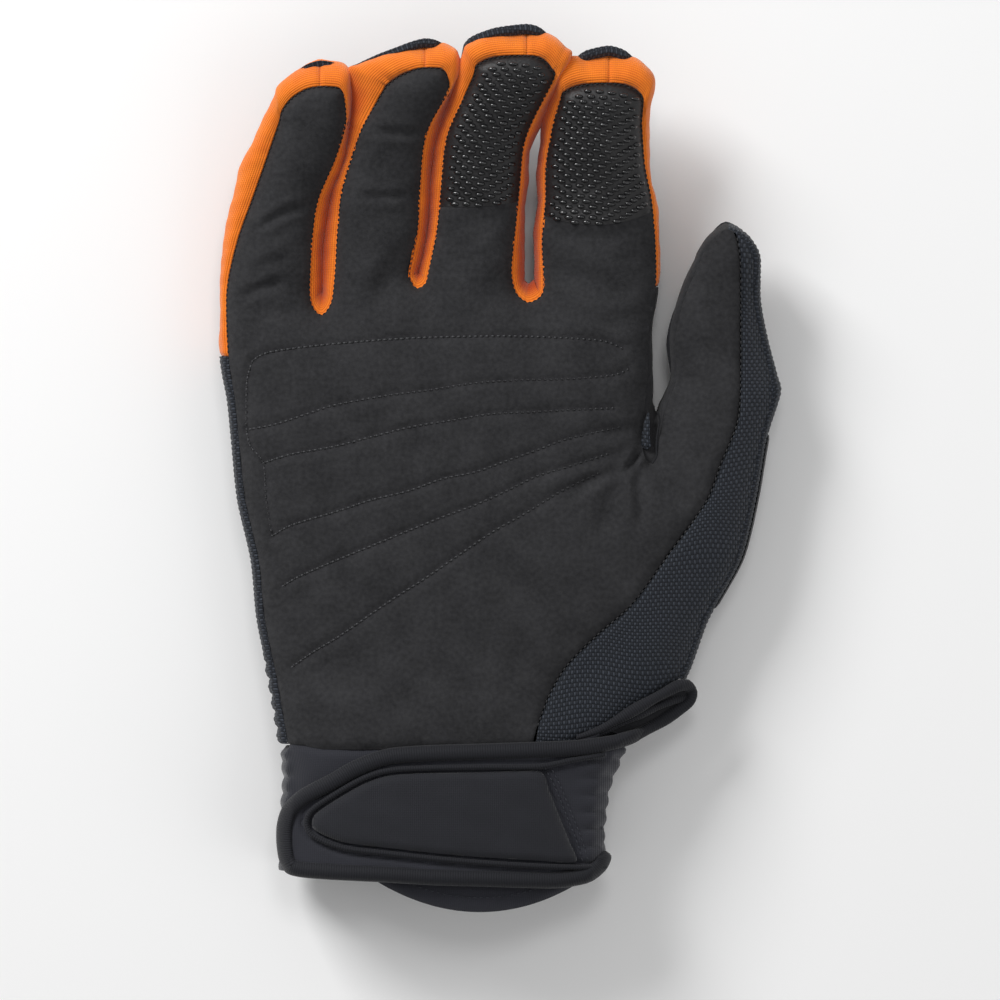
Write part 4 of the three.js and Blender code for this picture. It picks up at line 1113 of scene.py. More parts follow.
def side_grid(st, shift, t, rim=0.0, dip=0.0):
    """Points round the side of the hand, one row per station, and where each faces."""
    seam = st[:, 0:2] + st[:, 5:7] * shift
    span = st[:, 2:4] - seam
    length = np.hypot(*span.T)[:, None]
    facing = span / length
    angle, bulge = side_arc(t[None, :])
    full = bulge ** (0.6 + np.reshape(dip, (-1, 1)))
    tip = TIP_REACH * np.sin(t * math.pi / 2)[None, :]
    reach = (full + (tip - full) * st[:, 4:5]) * (length - np.reshape(rim, (-1, 1)))
    x = seam[:, 0:1] + facing[:, 0:1] * reach
    y = seam[:, 1:2] + facing[:, 1:2] * reach
    z = mid_height(x, y) + edge_height(x, y) * np.cos(angle) / math.cos(SEAM_ANGLE)
    way = np.stack([facing[:, 0:1] * np.sin(np.pi * t), facing[:, 1:2] * np.sin(np.pi * t),
                    np.broadcast_to(np.cos(np.pi * t), reach.shape)], axis=2)
    return np.stack([x, y, z], axis=2), way


def side_body(st, shift, wall, columns, shape, rim=0.0, dip=0.0):
    """A side strip as a closed body; shape gives its relief from run, across and t."""
    t = np.linspace(0, 1, columns)
    grid, way = side_grid(st, shift, t, rim, dip)
    uv = grid_uv(grid)
    relief = shape(uv[:, :, 0], uv[:, :, 1], t[None, :])[:, :, None]
    return grid_body(grid + grid_normals(grid, way) * relief, grid - way * wall * 1.15, uv)


def knit_shape(run, across, t):
    """Edges sink into the seams, ends into the tip seam, and the knit has soft dents."""
    width = across[:, -1:]
    sink = bump(across, 0.8) * (0.6 + 0.06 * np.cos(2 * np.pi * run / STITCH_PITCH))
    sink = sink + 0.5 * bump(width - across, 0.8)
    ends = 0.45 * (bump(run, 0.55) + bump(run[-1:] - run, 0.55))
    dents = 0.2 * np.sin(run * 0.3 + 1.7 * np.sin(run * 0.13)) * np.sin(np.pi * t) ** 2
    dents = dents + 0.05 * np.sin(run * 1.3 + across * 0.5)
    return np.maximum(dents - sink - ends, -1.3 + 1.15 * smooth(0.8, 0.96, t))


KNIT_PIECES = [
    ("pinky_outer", "stripStart", "pinkyTip"), ("pinky_ring", "pinkyTip", "ringTip"),
    ("ring_middle", "ringTip", "middleTip"), ("middle_index", "middleTip", "indexTip"),
    ("index_outer", "indexTip", "stripEnd")]
for name, first, last in KNIT_PIECES:
    st = samples(MARK[first] + CUT * 0.4, MARK[last] - CUT * 0.4, 0.55)
    rim = rim_width(st) + slit_width(st)
    body = side_body(st, HALF, STRIP, STRIP_COLUMNS, knit_shape, rim, slit_dip(st))
    # How much painted shade the knit gets: none at the palm seam, most deep in a slit between fingers.
    depth = smooth(0.04, 0.3, np.linspace(0, 1, STRIP_COLUMNS)) * slit_dip(st)[:, None]
    add_piece("knit_strip_" + name, body, knit_orange, ["fourchette_" + name],
              valley_shade=np.tile(0.8 * depth.ravel(), 2))

# %% [markdown]
# ## The woven back and its rims
# The back is a face like the palm, but seen from below, and it lies flat where
# it rests. It wraps the left side of the hand, where the coarse threads make a
# saw edge, and near the wrist it is pleated in ribs four millimetres apart.

# %% Back of the hand
PLEATS_FROM, PLEATS_FULL = -44, -50
BACK_PITCH, OVERLAP = 1.35, 0.3


def pleats(y):
    """Round cross ribs near the wrist, where the back is elastic."""
    return np.abs(np.sin(np.pi * y / RIB_PITCH)) * smooth(PLEATS_FROM, PLEATS_FULL, y)


def weave_edge(run, across, t):
    """Threads stand out as small teeth; both long edges sink into their seams."""
    teeth = 0.26 * np.abs(np.sin(np.pi * run / BACK_PITCH))
    return teeth - 0.55 * bump(across, 0.8) - 0.3 * bump(across[:, -1:] - across, 0.8)


left_st = samples(LEFT_LOW, MARK["stripStart"] + CUT * 0.3, 0.45)


def left_side_shape(run, across, t):
    """The woven edge with the pleats carried round it."""
    y = left_st[:, 1:2]
    rib = 0.75 * pleats(y) - 0.3 * smooth(PLEATS_FROM, PLEATS_FULL, y)
    return weave_edge(run, across, t) + rib * np.sin(np.pi * t)


def back_body(loop, marks):
    """The lower face of the glove inside an outline, with its inner wall above."""
    flat, faces = filled(loop, 1.1)
    x, y = flat.T
    low = back_height(x, y)
    over = low + SUEDE * steepness(back_height, x, y) + 0.2
    low = low + marks(x, y) - 0.6 * rolled_edge(loop, flat, 0.6, pitch=BACK_PITCH)
    return face_body(flat, faces, over, low)


def back_marks(x, y):
    """Pleats at the wrist and soft flex creases over the finger joints."""
    move = 0.5 * (1 - pleats(y)) * smooth(PLEATS_FROM, PLEATS_FULL, y)
    for row in (52.0, 74.0):
        move = move + 0.5 * bump(y - row - 1.5 * np.sin(x * 0.12), 1.1)
    return move


back_loop = np.vstack([
    moved_back(samples(LEFT_LOW, MARK["stripStart"] - 2 * CUT, 0.9), OVERLAP),
    moved_back(samples(MARK["stripStart"] - CUT, MARK["stripEnd"] + CUT, 0.9), -HALF),
    moved_back(samples(MARK["stripEnd"] + 2 * CUT, MARK["webRoot"] - 0.3, 0.9), OVERLAP),
    pushed(back_curve, -HALF),
    wrist_points(BACK_CORNER_X, WRIST_LEFT[0] + WRIST_INSET, LOW)])
add_piece("back_woven", merged(
    back_body(back_loop, back_marks),
    side_body(left_st, HALF, SUEDE, 18, left_side_shape)), weave_navy, ["back_panel"])

# %% [markdown]
# ### Suede in the crotch of the thumb
# Between index finger and thumb no strip is sewn in: the suede itself turns
# round the side. So it is a side strip in the palm's material.

# %% Suede round the thumb crotch
def suede_side(run, across, t):
    """Suede turned round the side: no seam above, soft dents, a tucked lower edge."""
    dents = 0.12 * np.sin(run * 0.5 + 0.4) * np.sin(np.pi * t)
    return dents - 0.3 * bump(across[:, -1:] - across, 0.8) - 0.25 * bump(across, 0.5)


web_st = samples(MARK["stripEnd"] + CUT, MARK["thumbTip"] + 0.35, 0.5)
add_piece("thumb_crotch_suede", side_body(web_st, -0.3, SUEDE, 16, suede_side), suede)

# %% [markdown]
# ### Rims behind the fingertips
# At each tip the woven back turns up behind the knit and shows as a narrow
# dark rim. Its section is a hook of six control points that a smooth curve
# runs through; it shrinks to nothing at both ends, where it sinks in the knit.

# %% Rims of the woven back behind the fingertips
RIM_BLEND = curve(np.eye(6), 0.24)


def rim_body(name):
    """The back cloth turned up beyond the knit at one fingertip."""
    low, high, size = RIMS[name]
    st = samples(MARK[name + "Tip"] - 4, MARK[name + "Tip"] + 4, 0.4)
    st = st[(st[:, 2] > low + 0.6) & (st[:, 2] < high - 0.6) & (st[:, 3] > TIPS_Y)]
    width = rim_width(st)[:, None]
    seam, edge = st[:, 0:2], st[:, 2:4]
    length = np.hypot(*(edge - seam).T)[:, None]
    facing = (edge - seam) / length
    mid = mid_height(edge[:, 0], edge[:, 1])[:, None]
    tall = edge_height(edge[:, 0], edge[:, 1])[:, None]
    tooth = 1 + 0.14 * np.abs(np.sin(np.pi * lengths(edge)[:, None] / STITCH_PITCH))
    # The knit's own outermost reach; at both ends the rim sinks under it.
    t = np.linspace(0, 1, STRIP_COLUMNS)
    full = side_arc(t)[1] ** 0.6
    tip = TIP_REACH * np.sin(t * math.pi / 2)
    profile = (full + (tip - full) * st[:, 4:5]).max(axis=1, keepdims=True)
    knit = profile * (length - width) - length
    grown_up = np.sqrt(np.clip(width / size, 0, 1))
    level = mid - (0.85 - 0.6 * grown_up) * tall
    # Below the fold the rim lies over the knit, down to the back of the finger.
    hidden = 0.5 * (1 - grown_up)
    foot = TIP_REACH * st[:, 4:5] * (length - width) - length
    controls = []
    for out, z in ((knit - 0.25 * width - 0.5, level - 0.7 * width),
                   (knit + 0.15 * width - hidden, level + 0.3 * width),
                   (knit + 1.0 * width * tooth - hidden, level + 0.05 * width),
                   (knit + 0.85 * width - hidden, level - 0.9 * width),
                   (knit + 0.5 * width + 0.15 - hidden, mid - 0.68 * tall),
                   (foot + 0.4 - hidden, mid - 1.02 * tall)):
        controls.append(np.column_stack([edge + facing * out, np.maximum(z, 0.4)[:, 0]]))
    grid = np.einsum("kc,cij->ikj", RIM_BLEND, np.array(controls))
    inward = np.column_stack([-facing, np.full(len(st), 0.35)])[:, None, :]
    return grid_body(grid, grid + inward * 0.55, grid_uv(grid))


add_piece("fingertip_rims", merged(*[rim_body(name) for name in RIMS]), weave_navy)

# %% [markdown]
# ## The woven thumb panel and its guard
# The woven cloth runs from the thumb tip down beside the palm seam, round the
# outer edge and over the thumb's back. The guard is a thin rubber moulding
# that stands proud of that edge.

# %% Thumb panel
def front_body(loop, marks):
    """A part of the upper face inside an outline, with its inner wall below."""
    flat, faces = filled(loop, 0.8)
    x, y = flat.T
    top = palm_height(x, y)
    under = top - SUEDE * steepness(palm_height, x, y) - 0.3
    top = top + marks(x, y) + rolled_edge(loop, flat, 0.6, pitch=BACK_PITCH)
    return face_body(flat, faces, top, under)


def thumb_marks(x, y):
    """Slack of the woven cloth, pulled towards the seam."""
    slack = 0.25 * np.sin(0.3 * x - 0.22 * y) * np.sin(0.11 * y + 0.6)
    return slack * smooth(0, 6, read_raster(palm_raster, x, y))


thumb_front = np.vstack([
    moved_seam(samples(THUMB_TIP + 0.25, RIGHT_LOW, 0.7), 0.2),
    wrist_points(WRIST_RIGHT[0] - 3, PALM_CORNER_X + 0.8, LOW), pushed(woven_curve[::-1], -HALF)])
thumb_back = np.vstack([
    moved_back(samples(MARK["webRoot"] + 0.4, RIGHT_LOW, 0.9), OVERLAP),
    wrist_points(WRIST_RIGHT[0] - 3, BACK_CORNER_X + 0.8, LOW), pushed(back_curve[::-1], -HALF)])
thumb_st = samples(MARK["thumbTip"] + 0.3, RIGHT_LOW, 0.5)
add_piece("thumb_woven", merged(
    front_body(thumb_front, thumb_marks), back_body(thumb_back, lambda x, y: 0 * x),
    side_body(thumb_st, HALF, SUEDE, 18, weave_edge)), weave_navy, ["thumb_panel"])

# %% [markdown]
# ### Where palm, back and thumb meet
# Three cloths end in the corner of the thumb. A dark tube along the fold is painted
# shade for its deep crease, a scrap of the woven back shows beside it, and the back
# peeps out again as a narrow rim on the thumb's inner side, in black lining that is
# painted shade. All three were traced on the photo as short lines.

# %% Corner of the thumb
CORNER_FOLD = [(658, 412), (660, 420), (658, 432), (657, 446), (657, 456), (653, 463)]
CORNER_SCRAP = [(649, 412), (650, 424), (650, 437), (651, 446), (646, 449), (641, 445),
                (642, 433), (645, 420)]
THUMB_RIM_Y = (22.5, 39.5)


# Painted shade: a dark tube of lining lies in the deep crease of the fold.
def corner_fold_shade():
    flat = curve([at_pixel(*p) for p in CORNER_FOLD], 0.5)
    line = np.column_stack([flat, palm_height(*flat.T) - 0.12])
    return tube(line, 0.18 + 0.16 * smooth(0, 12, lengths(flat)), 8)


def corner_scrap():
    loop = curve([at_pixel(*p) for p in CORNER_SCRAP], 0.4, closed=True)
    flat, faces = filled(loop, 0.5)
    top = palm_height(*flat.T) + palm_marks(*flat.T) * 0.5 + 0.45
    top = top - 0.6 * bump(nearest(loop, flat)[0], 0.6)
    return face_body(flat, faces, top, top - 1.0)


# Painted shade: the rim is the woven back on its shaded side, drawn in black lining.
def inner_rim():
    st = samples(MARK["webRoot"] + 3.2, MARK["thumbLeft"] + 4.0, 0.5)
    st = st[(st[:, 3] > THUMB_RIM_Y[0]) & (st[:, 3] < THUMB_RIM_Y[1]) & (st[:, 2] > 40)]
    flat = st[:, 2:4] + (st[:, 0:2] - st[:, 2:4]) * 0.3
    run = lengths(flat)
    radius = 0.3 + 0.7 * np.sin(np.pi * run / run[-1]) ** 0.6
    return tube(np.column_stack([flat, mid_height(*flat.T) + 0.8]), radius, 12)


add_piece("crotch_fold_shade", corner_fold_shade(), lining_and_shade)
add_piece("crotch_woven_scrap", corner_scrap(), weave_navy)
add_piece("thumb_inner_rim", inner_rim(), lining_and_shade)

# %% [markdown]
# ### The rubber guard
# The guard is moulded flat and glued along the thumb's outer edge. It is part
# of the same side grid, lifted off the cloth and rounded across and at its ends.

# %% Thumb guard
GUARD_FROM, GUARD_TO, GUARD_ROUND = 0.32, 0.85, 0.275


def guard_body():
    st = samples(MARK["guardStart"] - 0.05, MARK["guardStart"] + 2.8, 0.6)
    t = np.linspace(GUARD_FROM, GUARD_TO, 14)
    grid, way = side_grid(st, HALF, t)
    uv = grid_uv(grid)
    run = uv[:, :, 0]
    ends = np.minimum(smooth(-0.4, 1.4, run), smooth(-0.4, 1.4, run[-1:] - run))
    middle = (GUARD_FROM + GUARD_TO) / 2
    rounding = np.sqrt(np.clip(1 - ((t - middle) / GUARD_ROUND) ** 2, 0, 1))[None, :]
    outer = grid + way * (0.38 + 0.42 * ends * rounding)[:, :, None]
    return grid_body(outer, grid + way * 0.35, uv)


add_piece("thumb_guard_edge", guard_body(), rubber, ["thumb_guard"])

# %% [markdown]
# ## The hollow cuff
# The cuff is a tube of neoprene whose front end runs on as a tongue. Its rows
# go down the wrist and its columns go round. The back and both sides carry the
# same four millimetre ribs as the back of the hand.

# %% Cuff
CUFF_END, TONGUE_END, TONGUE_X, TONGUE_CURVE = -98.8, -108.5, -5.0, 0.0115
SIDE_COLUMNS, FACE_COLUMNS, CUFF_ROWS = 14, 90, 48
# The furthest x of the cuff at some y: it stays behind the strap's end and the lips.
LIMIT_Y = [-100, -90, -77, -68.5, -66.2, -63.4, -60, -57]
LIMIT_X = [30, 25.4, 25.6, 28.6, 31.5, 37, 42, 44]
SQUEEZE_WIDTH = 8


def side_at(table, y):
    """Seam x and edge x of one side of the hand at a height."""
    rows = np.array(sorted(table))
    return np.interp(y, rows[:, 0], rows[:, 1]), np.interp(y, rows[:, 0], rows[:, 2])


def cuff_side(seam, edge, level):
    """One side of a ring, from the palm seam round to the back."""
    angle, bulge = side_arc(np.linspace(0.06, 0.94, SIDE_COLUMNS))
    x = seam + (edge - seam) * bulge**0.6
    y = np.full(SIDE_COLUMNS, level)
    z = mid_height(x, y) + edge_height(x, y) * np.cos(angle) / math.cos(SEAM_ANGLE)
    return np.column_stack([x, y, z])


def cuff_ring(v):
    """One ring of the cuff at v, 0 at the wrist line and 1 at the end."""
    left_y = (WRIST_LEFT[1] - LOW) * (1 - v) + CUFF_END * v
    right_y = (WRIST_RIGHT[1] - LOW) * (1 - v) + CUFF_END * v
    left_seam, left_edge = side_at(LEFT_SIDE, left_y)
    right_seam, right_edge = side_at(RIGHT_SIDE, right_y)
    x = left_seam + (right_seam - left_seam) * np.linspace(0, 1, FACE_COLUMNS)
    end = np.minimum(CUFF_END, TONGUE_END + TONGUE_CURVE * (x - TONGUE_X) ** 2)
    y = (wrist_line(x) + 1.2) * (1 - v) + end * v
    return np.vstack([
        cuff_side(left_seam, left_edge, left_y)[::-1],
        np.column_stack([x, y, palm_height(x, y)]),
        cuff_side(right_seam, right_edge, right_y),
        np.column_stack([x, y, back_height(x, y)])[::-1]])


def squeezed(grid):
    """The rings with their right side drawn in to the limit and lowered under the lips."""
    x, y, z = (grid[:, :, k].copy() for k in range(3))
    limit = np.interp(y, LIMIT_Y, LIMIT_X)
    knee = limit - SQUEEZE_WIDTH
    reach = np.maximum(x.max(axis=1, keepdims=True) - knee, 1)
    squeeze = np.minimum(1, (limit - 0.6 - knee) / reach)
    x = np.where(x > knee, knee + (x - knee) * squeeze, x)
    z -= 2.8 * smooth(30, 34, x) * smooth(-69, -65, y) * smooth(11, 14, z)
    return np.stack([x, y, z], axis=2)


def ring_normals(grid):
    """Normals that lie in each ring's own plane, as at a straight sleeve."""
    beside = np.roll(grid, -1, 1) - np.roll(grid, 1, 1)
    normal = np.stack([beside[:, :, 2], 0 * beside[:, :, 0], -beside[:, :, 0]], axis=2)
    normal /= np.maximum(np.linalg.norm(normal, axis=2, keepdims=True), 1e-9)
    outwards = (grid - grid.mean(axis=1, keepdims=True)) * normal
    return normal * np.sign(outwards.sum(axis=(1, 2), keepdims=True))


def cuff_body():
    grid = squeezed(np.array([cuff_ring(v) for v in np.linspace(0, 1, CUFF_ROWS)]))
    normal = ring_normals(grid)
    columns = np.arange(grid.shape[1])
    front = ((columns >= SIDE_COLUMNS) & (columns < SIDE_COLUMNS + FACE_COLUMNS))[None, :]
    ribs_move = 0.55 * np.abs(np.sin(np.pi * grid[:, :, 1] / RIB_PITCH)) - 0.25
    ribs_move = ribs_move * np.where(front, 0.0, 1.0)
    # Underneath, where the cuff rests, the ribs only sink.
    below = smooth(111, 122, columns)[None, :]
    ribs_move = ribs_move * (1 - below) + np.minimum(0, ribs_move - 0.3) * below
    outer = grid + normal * ribs_move[:, :, None]
    outer[:, :, 2] = np.maximum(outer[:, :, 2], 0)
    end_roll = 0.8 * bump(grid[:, :, 1] - grid[-1:, :, 1], 0.8) * front
    tuck = 1.3 * bump(grid[:, :, 1] - grid[:1, :, 1], 1.3)
    outer -= normal * (end_roll + tuck)[:, :, None]
    around = np.cumsum(np.linalg.norm(np.roll(grid, -1, 1) - grid, axis=2), axis=1)
    uv = np.stack([around, -grid[:, :, 1]], axis=2)
    return grid_body(outer, grid - normal * CUFF_WALL, uv, closed_columns=True)


add_piece("cuff_sleeve", cuff_body(), jersey_navy, ["cuff"])

# %% [markdown]
# ## The closing strap
# The strap is three layers: a base, a tape bound round its edge, and a raised
# panel with a thin piping in the groove beside it. All of them follow the
# cuff, so each is placed by a level above the cuff's surface, not by a height.

# %% Surface under the strap
STRAP_UNDER, STRAP_TOP, PANEL_TOP = 1.0, 3.1, 4.5
STRAP_OUTLINE = [
    [29.4, -71.6], [29.9, -67.8], [10.8, -67.0], [-4.0, -67.4], [-19.8, -67.9], [-28.4, -68.8],
    [-36.0, -71.6], [-42.0, -75.0], [-49.0, -78.8], [-53.2, -82.8], [-54.8, -87.5],
    [-54.8, -93.0], [-53.6, -97.4], [-49.6, -99.8], [-28.4, -100.9], [-16.0, -101.6],
    [-5.0, -101.9], [6.0, -102.3], [14.5, -102.4], [21.6, -101.2], [24.8, -97.0],
    [25.4, -88.0], [26.6, -79.0], [28.2, -74.6]]
PANEL_OUTLINE = [
    [9.3, -74.1], [-4.0, -74.2], [-17.0, -74.4], [-27.0, -75.0], [-33.3, -77.0], [-40.6, -81.2],
    [-45.6, -84.9], [-45.6, -88.3], [-38.5, -91.3], [-27.0, -92.7], [-15.0, -94.0], [-3.0, -95.0],
    [9.0, -95.8], [18.2, -96.2], [16.8, -91.5], [14.4, -85.5], [11.8, -79.0]]

GATHER_PITCH, LEVEL_STEEPEST = 4.2, 1.35
SIDE_FALL, FALL_WIDTH = 1.1, 4


def cuff_top():
    """A raster of the cuff's upper surface, falling away past its side seams."""
    gx = RASTER_LOW[0] + RASTER * np.arange(RASTER_SIZE[0])
    gy = RASTER_LOW[1] + RASTER * np.arange(RASTER_SIZE[1])
    x, y = np.meshgrid(gx, gy)
    points = np.column_stack([x.ravel(), y.ravel()])
    low_part = points[:, 1] < -40
    spots = points[low_part]
    fine_seam = seam_point(samples(0, len(STATIONS) - 1, 0.6))
    beyond = nearest(fine_seam[fine_seam[:, 1] < -30], spots)[0]
    falling = mid_height(*spots.T) + edge_height(*spots.T) - SIDE_FALL * np.minimum(beyond, FALL_WIDTH)
    seam_loop = seam_point(samples(0, len(STATIONS) - 1, 2.0))
    raster = np.zeros(len(points))
    raster[low_part] = np.where(inside(spots, seam_loop), palm_height(*spots.T), falling)
    return raster.reshape(x.shape)


top_raster = cuff_top()


def top_height(x, y):
    """The cuff's upper surface, carried on past its side seams."""
    return read_raster(top_raster, x, y)


def at_level(flat, d):
    """Points d millimetres above the cuff over flat places."""
    x, y = np.asarray(flat, float).T
    steep = np.minimum(LEVEL_STEEPEST, steepness(top_height, x, y))
    return np.column_stack([x, y, top_height(x, y) + d * steep])


strap_loop = curve(STRAP_OUTLINE, 0.8, closed=True, pull=0.4)
# The right end is gathered in ribs, which makes its edge wavy.
x, y = strap_loop.T
gathered = smooth(20, 24, x) * smooth(-97, -94, y) * smooth(-68, -71, y)
strap_loop[:, 0] += 0.7 * gathered * np.abs(np.sin(np.pi * y / GATHER_PITCH))
panel_loop = curve(PANEL_OUTLINE, 0.7, closed=True, pull=0.4)
print("strap outline points:", len(strap_loop))

# %% [markdown]
# ### Base, raised panel and piping
# The base is gathered at its right end. The raised panel is a padded cushion of
# jersey, and the piping is a thin covered cord sewn in the groove beside it.

# %% Strap base, raised panel and piping
LOWER_END, UPPER_END = 13, 0  # corners of the panel's slanting edge
piping_path = pushed(curve(
    [[25.2, -71.4], [17.5, -72.6], *PANEL_OUTLINE[:LOWER_END + 1], [25.4, -96.4]], 0.8), -1.3)
slant = curve([*PANEL_OUTLINE[LOWER_END:], PANEL_OUTLINE[UPPER_END]], 0.8)


def base_body():
    loop = pushed(strap_loop, 0.4, closed=True)
    flat, faces = filled(loop, 0.8)
    x, y = flat.T
    groove = near_line(x, y, piping_path)[0]
    seam, foot = (near_line(x, y, pushed(slant, -out))[0] for out in (1.6, 0.5))
    gather = np.abs(np.sin(np.pi * y / GATHER_PITCH)) ** 0.6 - 0.7
    top = at_level(flat, STRAP_TOP)[:, 2] - 0.8 * bump(groove - 1.1, 0.5)
    top = top + 0.5 * smooth(17, 23, x) - 0.3 * bump(seam, 0.6) - 0.9 * bump(foot, 0.6)
    top = top + 1.4 * gather * smooth(16, 26, x) - 1.6 * smooth(23, 29, x)
    top = top + rolled_edge(loop, flat, 0.7, 1.2)
    return face_body(flat, faces, top, at_level(flat, STRAP_UNDER)[:, 2])


def panel_body():
    flat, faces = filled(panel_loop, 0.7)
    x, y = flat.T
    distance = nearest(panel_loop, flat)[0]
    top = at_level(flat, PANEL_TOP - 0.25)[:, 2] + 0.45 * (1 - np.exp(-distance / 5))
    top = top - 0.75 * bump(distance, 0.8)
    soft = 0.12 * np.sin(0.35 * x + 0.4 * y) * np.sin(0.3 * y - 0.1 * x)
    top = top + soft * smooth(0, 5, distance)
    return face_body(flat, faces, top, at_level(flat, STRAP_TOP - 0.6)[:, 2])


add_piece("strap_base", base_body(), jersey_navy, ["closure_strap"])
strap_raised_panel = add_piece("strap_raised_panel", panel_body(), jersey_panel, ["strap_panel"])
piping_line = at_level(piping_path, STRAP_TOP + 0.55)
add_piece("strap_piping_cord", tube(piping_line, 0.62, 12), tape_navy, ["strap_piping"])

# %% [markdown]
# ### Bound edge and rolled lips
# Binding tape is folded over an edge. Its section is a rounded hook that is
# swept along the strap's outline and left open at the right end, where the
# strap comes out of the cuff. The lips of the wrist opening are the same tape
# rolled into a soft bar, bent back on itself like a hairpin.

# %% Binding and lips
binding_path = curve([[34.6, -62.6], [30.5, -64.6], [24.2, -65.9], [17.0, -66.7], *STRAP_OUTLINE[3:20],
                      [25.4, -98.6], [26.9, -95.8], [26.7, -93.6]], 0.55)
# Inward distance and level of each corner of the tape's section.
SECTION = [(0.5, 1.0), (0.0, 1.6), (-0.2, 2.6), (0.1, 3.5), (0.8, 4.25), (1.7, 4.5), (2.6, 4.35),
           (3.3, 3.9), (3.7, 3.3), (3.75, 2.7), (3.0, 2.6), (1.6, 2.7), (1.1, 2.0), (1.0, 1.0)]
SECTION_MIDDLE, SECTION_LEVEL = 1.8, 2.4


def binding_body():
    """The tape's section swept along the path; it narrows and closes at both ends."""
    run = lengths(binding_path)
    ends = np.minimum(smooth(-1.5, 3.0, run), np.sqrt(smooth(-0.6, 2.0, run[-1] - run)))
    narrow = 0.8 + 0.2 * smooth(0, 14, run)
    rows = []
    for a, d in SECTION:
        inwards = SECTION_MIDDLE + (a - SECTION_MIDDLE) * narrow * ends
        rows.append(at_level(pushed(binding_path, inwards[:, None]),
                             SECTION_LEVEL + (d - SECTION_LEVEL) * ends))
    grid = np.stack(rows, axis=1)
    across = lengths(np.array(SECTION))
    uv = np.column_stack([np.repeat(run, len(SECTION)), np.tile(across, len(grid))])
    return bar_body(grid, uv)


add_piece("strap_edge_tape", binding_body(), tape_navy, ["strap_binding"], sharp=70)

# %% [markdown]
# ### The lips of the wrist opening
# The tape's ends run on as two soft lips, rolled and bent back like a hairpin,
# with a fold and a dark pocket between them. Each roll is a tube whose radius
# swells and shrinks along its path.

# %% Lips of the wrist opening

LIP_PATH = [
    [19.0, -65.8], [24.3, -63.9], [32.0, -59.6], [39.0, -55.7], [43.1, -53.6], [45.5, -53.3],
    [46.9, -55.2], [46.2, -57.4], [43.4, -59.5], [38.5, -62.6], [33.0, -65.4], [28.0, -66.9]]
LIP_FOLD = [[24.5, -65.2], [31.0, -61.9], [37.0, -59.1], [42.0, -57.1], [45.2, -56.4]]
lip_flat = curve(LIP_PATH, 0.7)
lip_run = lengths(lip_flat)
lip_whole = lip_run[-1]
lip_radius = 1.35 * (0.45 + 0.55 * smooth(0, 14, lip_run)) + 0.14 * np.sin(lip_run * 0.5)
lip_radius += 0.2 * smooth(0.5 * lip_whole, 0.65 * lip_whole, lip_run)
lip_lift = 0.7 + lip_radius + 1.1 * smooth(lip_whole - 16, lip_whole - 4, lip_run)
lip_centres = np.column_stack([lip_flat, top_height(*lip_flat.T) + lip_lift])
fold_flat = curve(LIP_FOLD, 0.7)
fold_run = lengths(fold_flat)
fold_size = 0.4 + 0.6 * smooth(0, 12, fold_run) + 0.08 * np.sin(fold_run * 0.7)
fold_centres = np.column_stack([fold_flat, top_height(*fold_flat.T) + 0.9 + fold_size])


def pocket_body():
    """Dark stretch cloth between the two lips, sunk like the mouth of a pocket."""
    turn = int(np.argmax(lip_flat[:, 0]))
    upper, lower = (
        np.array([lip_centres[round(k)] for k in np.linspace(turn, stop, 60)])
        for stop in (8, len(lip_flat) - 6))
    t = np.linspace(0, 1, 12)
    grid = upper[:, None] + (lower - upper)[:, None] * t[None, :, None]
    grid[:, :, 2] -= 0.2 + 0.4 * np.sin(np.pi * t)[None, :]
    return grid_body(grid, grid - np.array([0, 0, 0.8]), grid_uv(grid))


lips = merged(tube(lip_centres, lip_radius, 18, flat=0.9), tube(fold_centres, fold_size, 14))
add_piece("wrist_lips", lips, tape_navy, ["cuff_gusset"])
add_piece("wrist_pocket", pocket_body(), lining_and_shade)

# %% [markdown]
# ## Grip prints
# Two fingertips carry silicone dots that are screen printed on the suede. A
# thin film gives the darker ground. The dots repeat, so Geometry Nodes sets
# one low dome on every point of a staggered row and turns it to the surface.

# %% Films under the dots
PRINTED = {"middle": 3.0, "index": 12.0}  # how far each print's lower edge sags


def print_outline(name, out):
    """The outline of a print: the seam round the tip and a sagging lower edge."""
    st = samples(MARK[name + "Left"] + 1.6, MARK[name + "Right"] - 1.7, 0.8)
    sides = moved_seam(st, out)
    a, b = sides[-1], sides[0]
    t = np.linspace(1, 0, 26)[1:-1, None]
    lower = b + (a - b) * t
    lower[:, 1] -= (PRINTED[name] * t * (1 - t))[:, 0]
    return np.vstack([sides, lower])


def film_body(name):
    flat, faces = filled(print_outline(name, -0.3), 0.85)
    top = surface(*flat.T) + rolled_edge(palm_loop, flat, palm_edge)
    top = top + 0.12 * steepness(palm_height, *flat.T)
    return face_body(flat, faces, top, top - 0.5)


for name in PRINTED:
    add_piece("grip_film_" + name, film_body(name), silicone_film, ["grip_print_" + name])

# %% [markdown]
# ### Two small Geometry Nodes trees
# Both trees set a copy of one small shape on every point and end as plain
# mesh: the first a dome turned to the surface, the second a capsule of thread
# turned along its path. Their sizes are inputs, and the only chance is seeded.

# %% A tree that sets one dome on every point
def new_tree(name, inputs):
    """A Geometry Nodes tree with a geometry input, its sizes, and a geometry output."""
    tree = bpy.data.node_groups.new(name, "GeometryNodeTree")
    tree.interface.new_socket(name="Geometry", in_out="INPUT", socket_type="NodeSocketGeometry")
    sockets = {}
    for label, kind in inputs:
        sockets[label] = tree.interface.new_socket(name=label, in_out="INPUT", socket_type=kind).identifier
    tree.interface.new_socket(name="Geometry", in_out="OUTPUT", socket_type="NodeSocketGeometry")
    return tree, sockets, tree.nodes.new("NodeGroupInput"), tree.nodes.new("NodeGroupOutput")


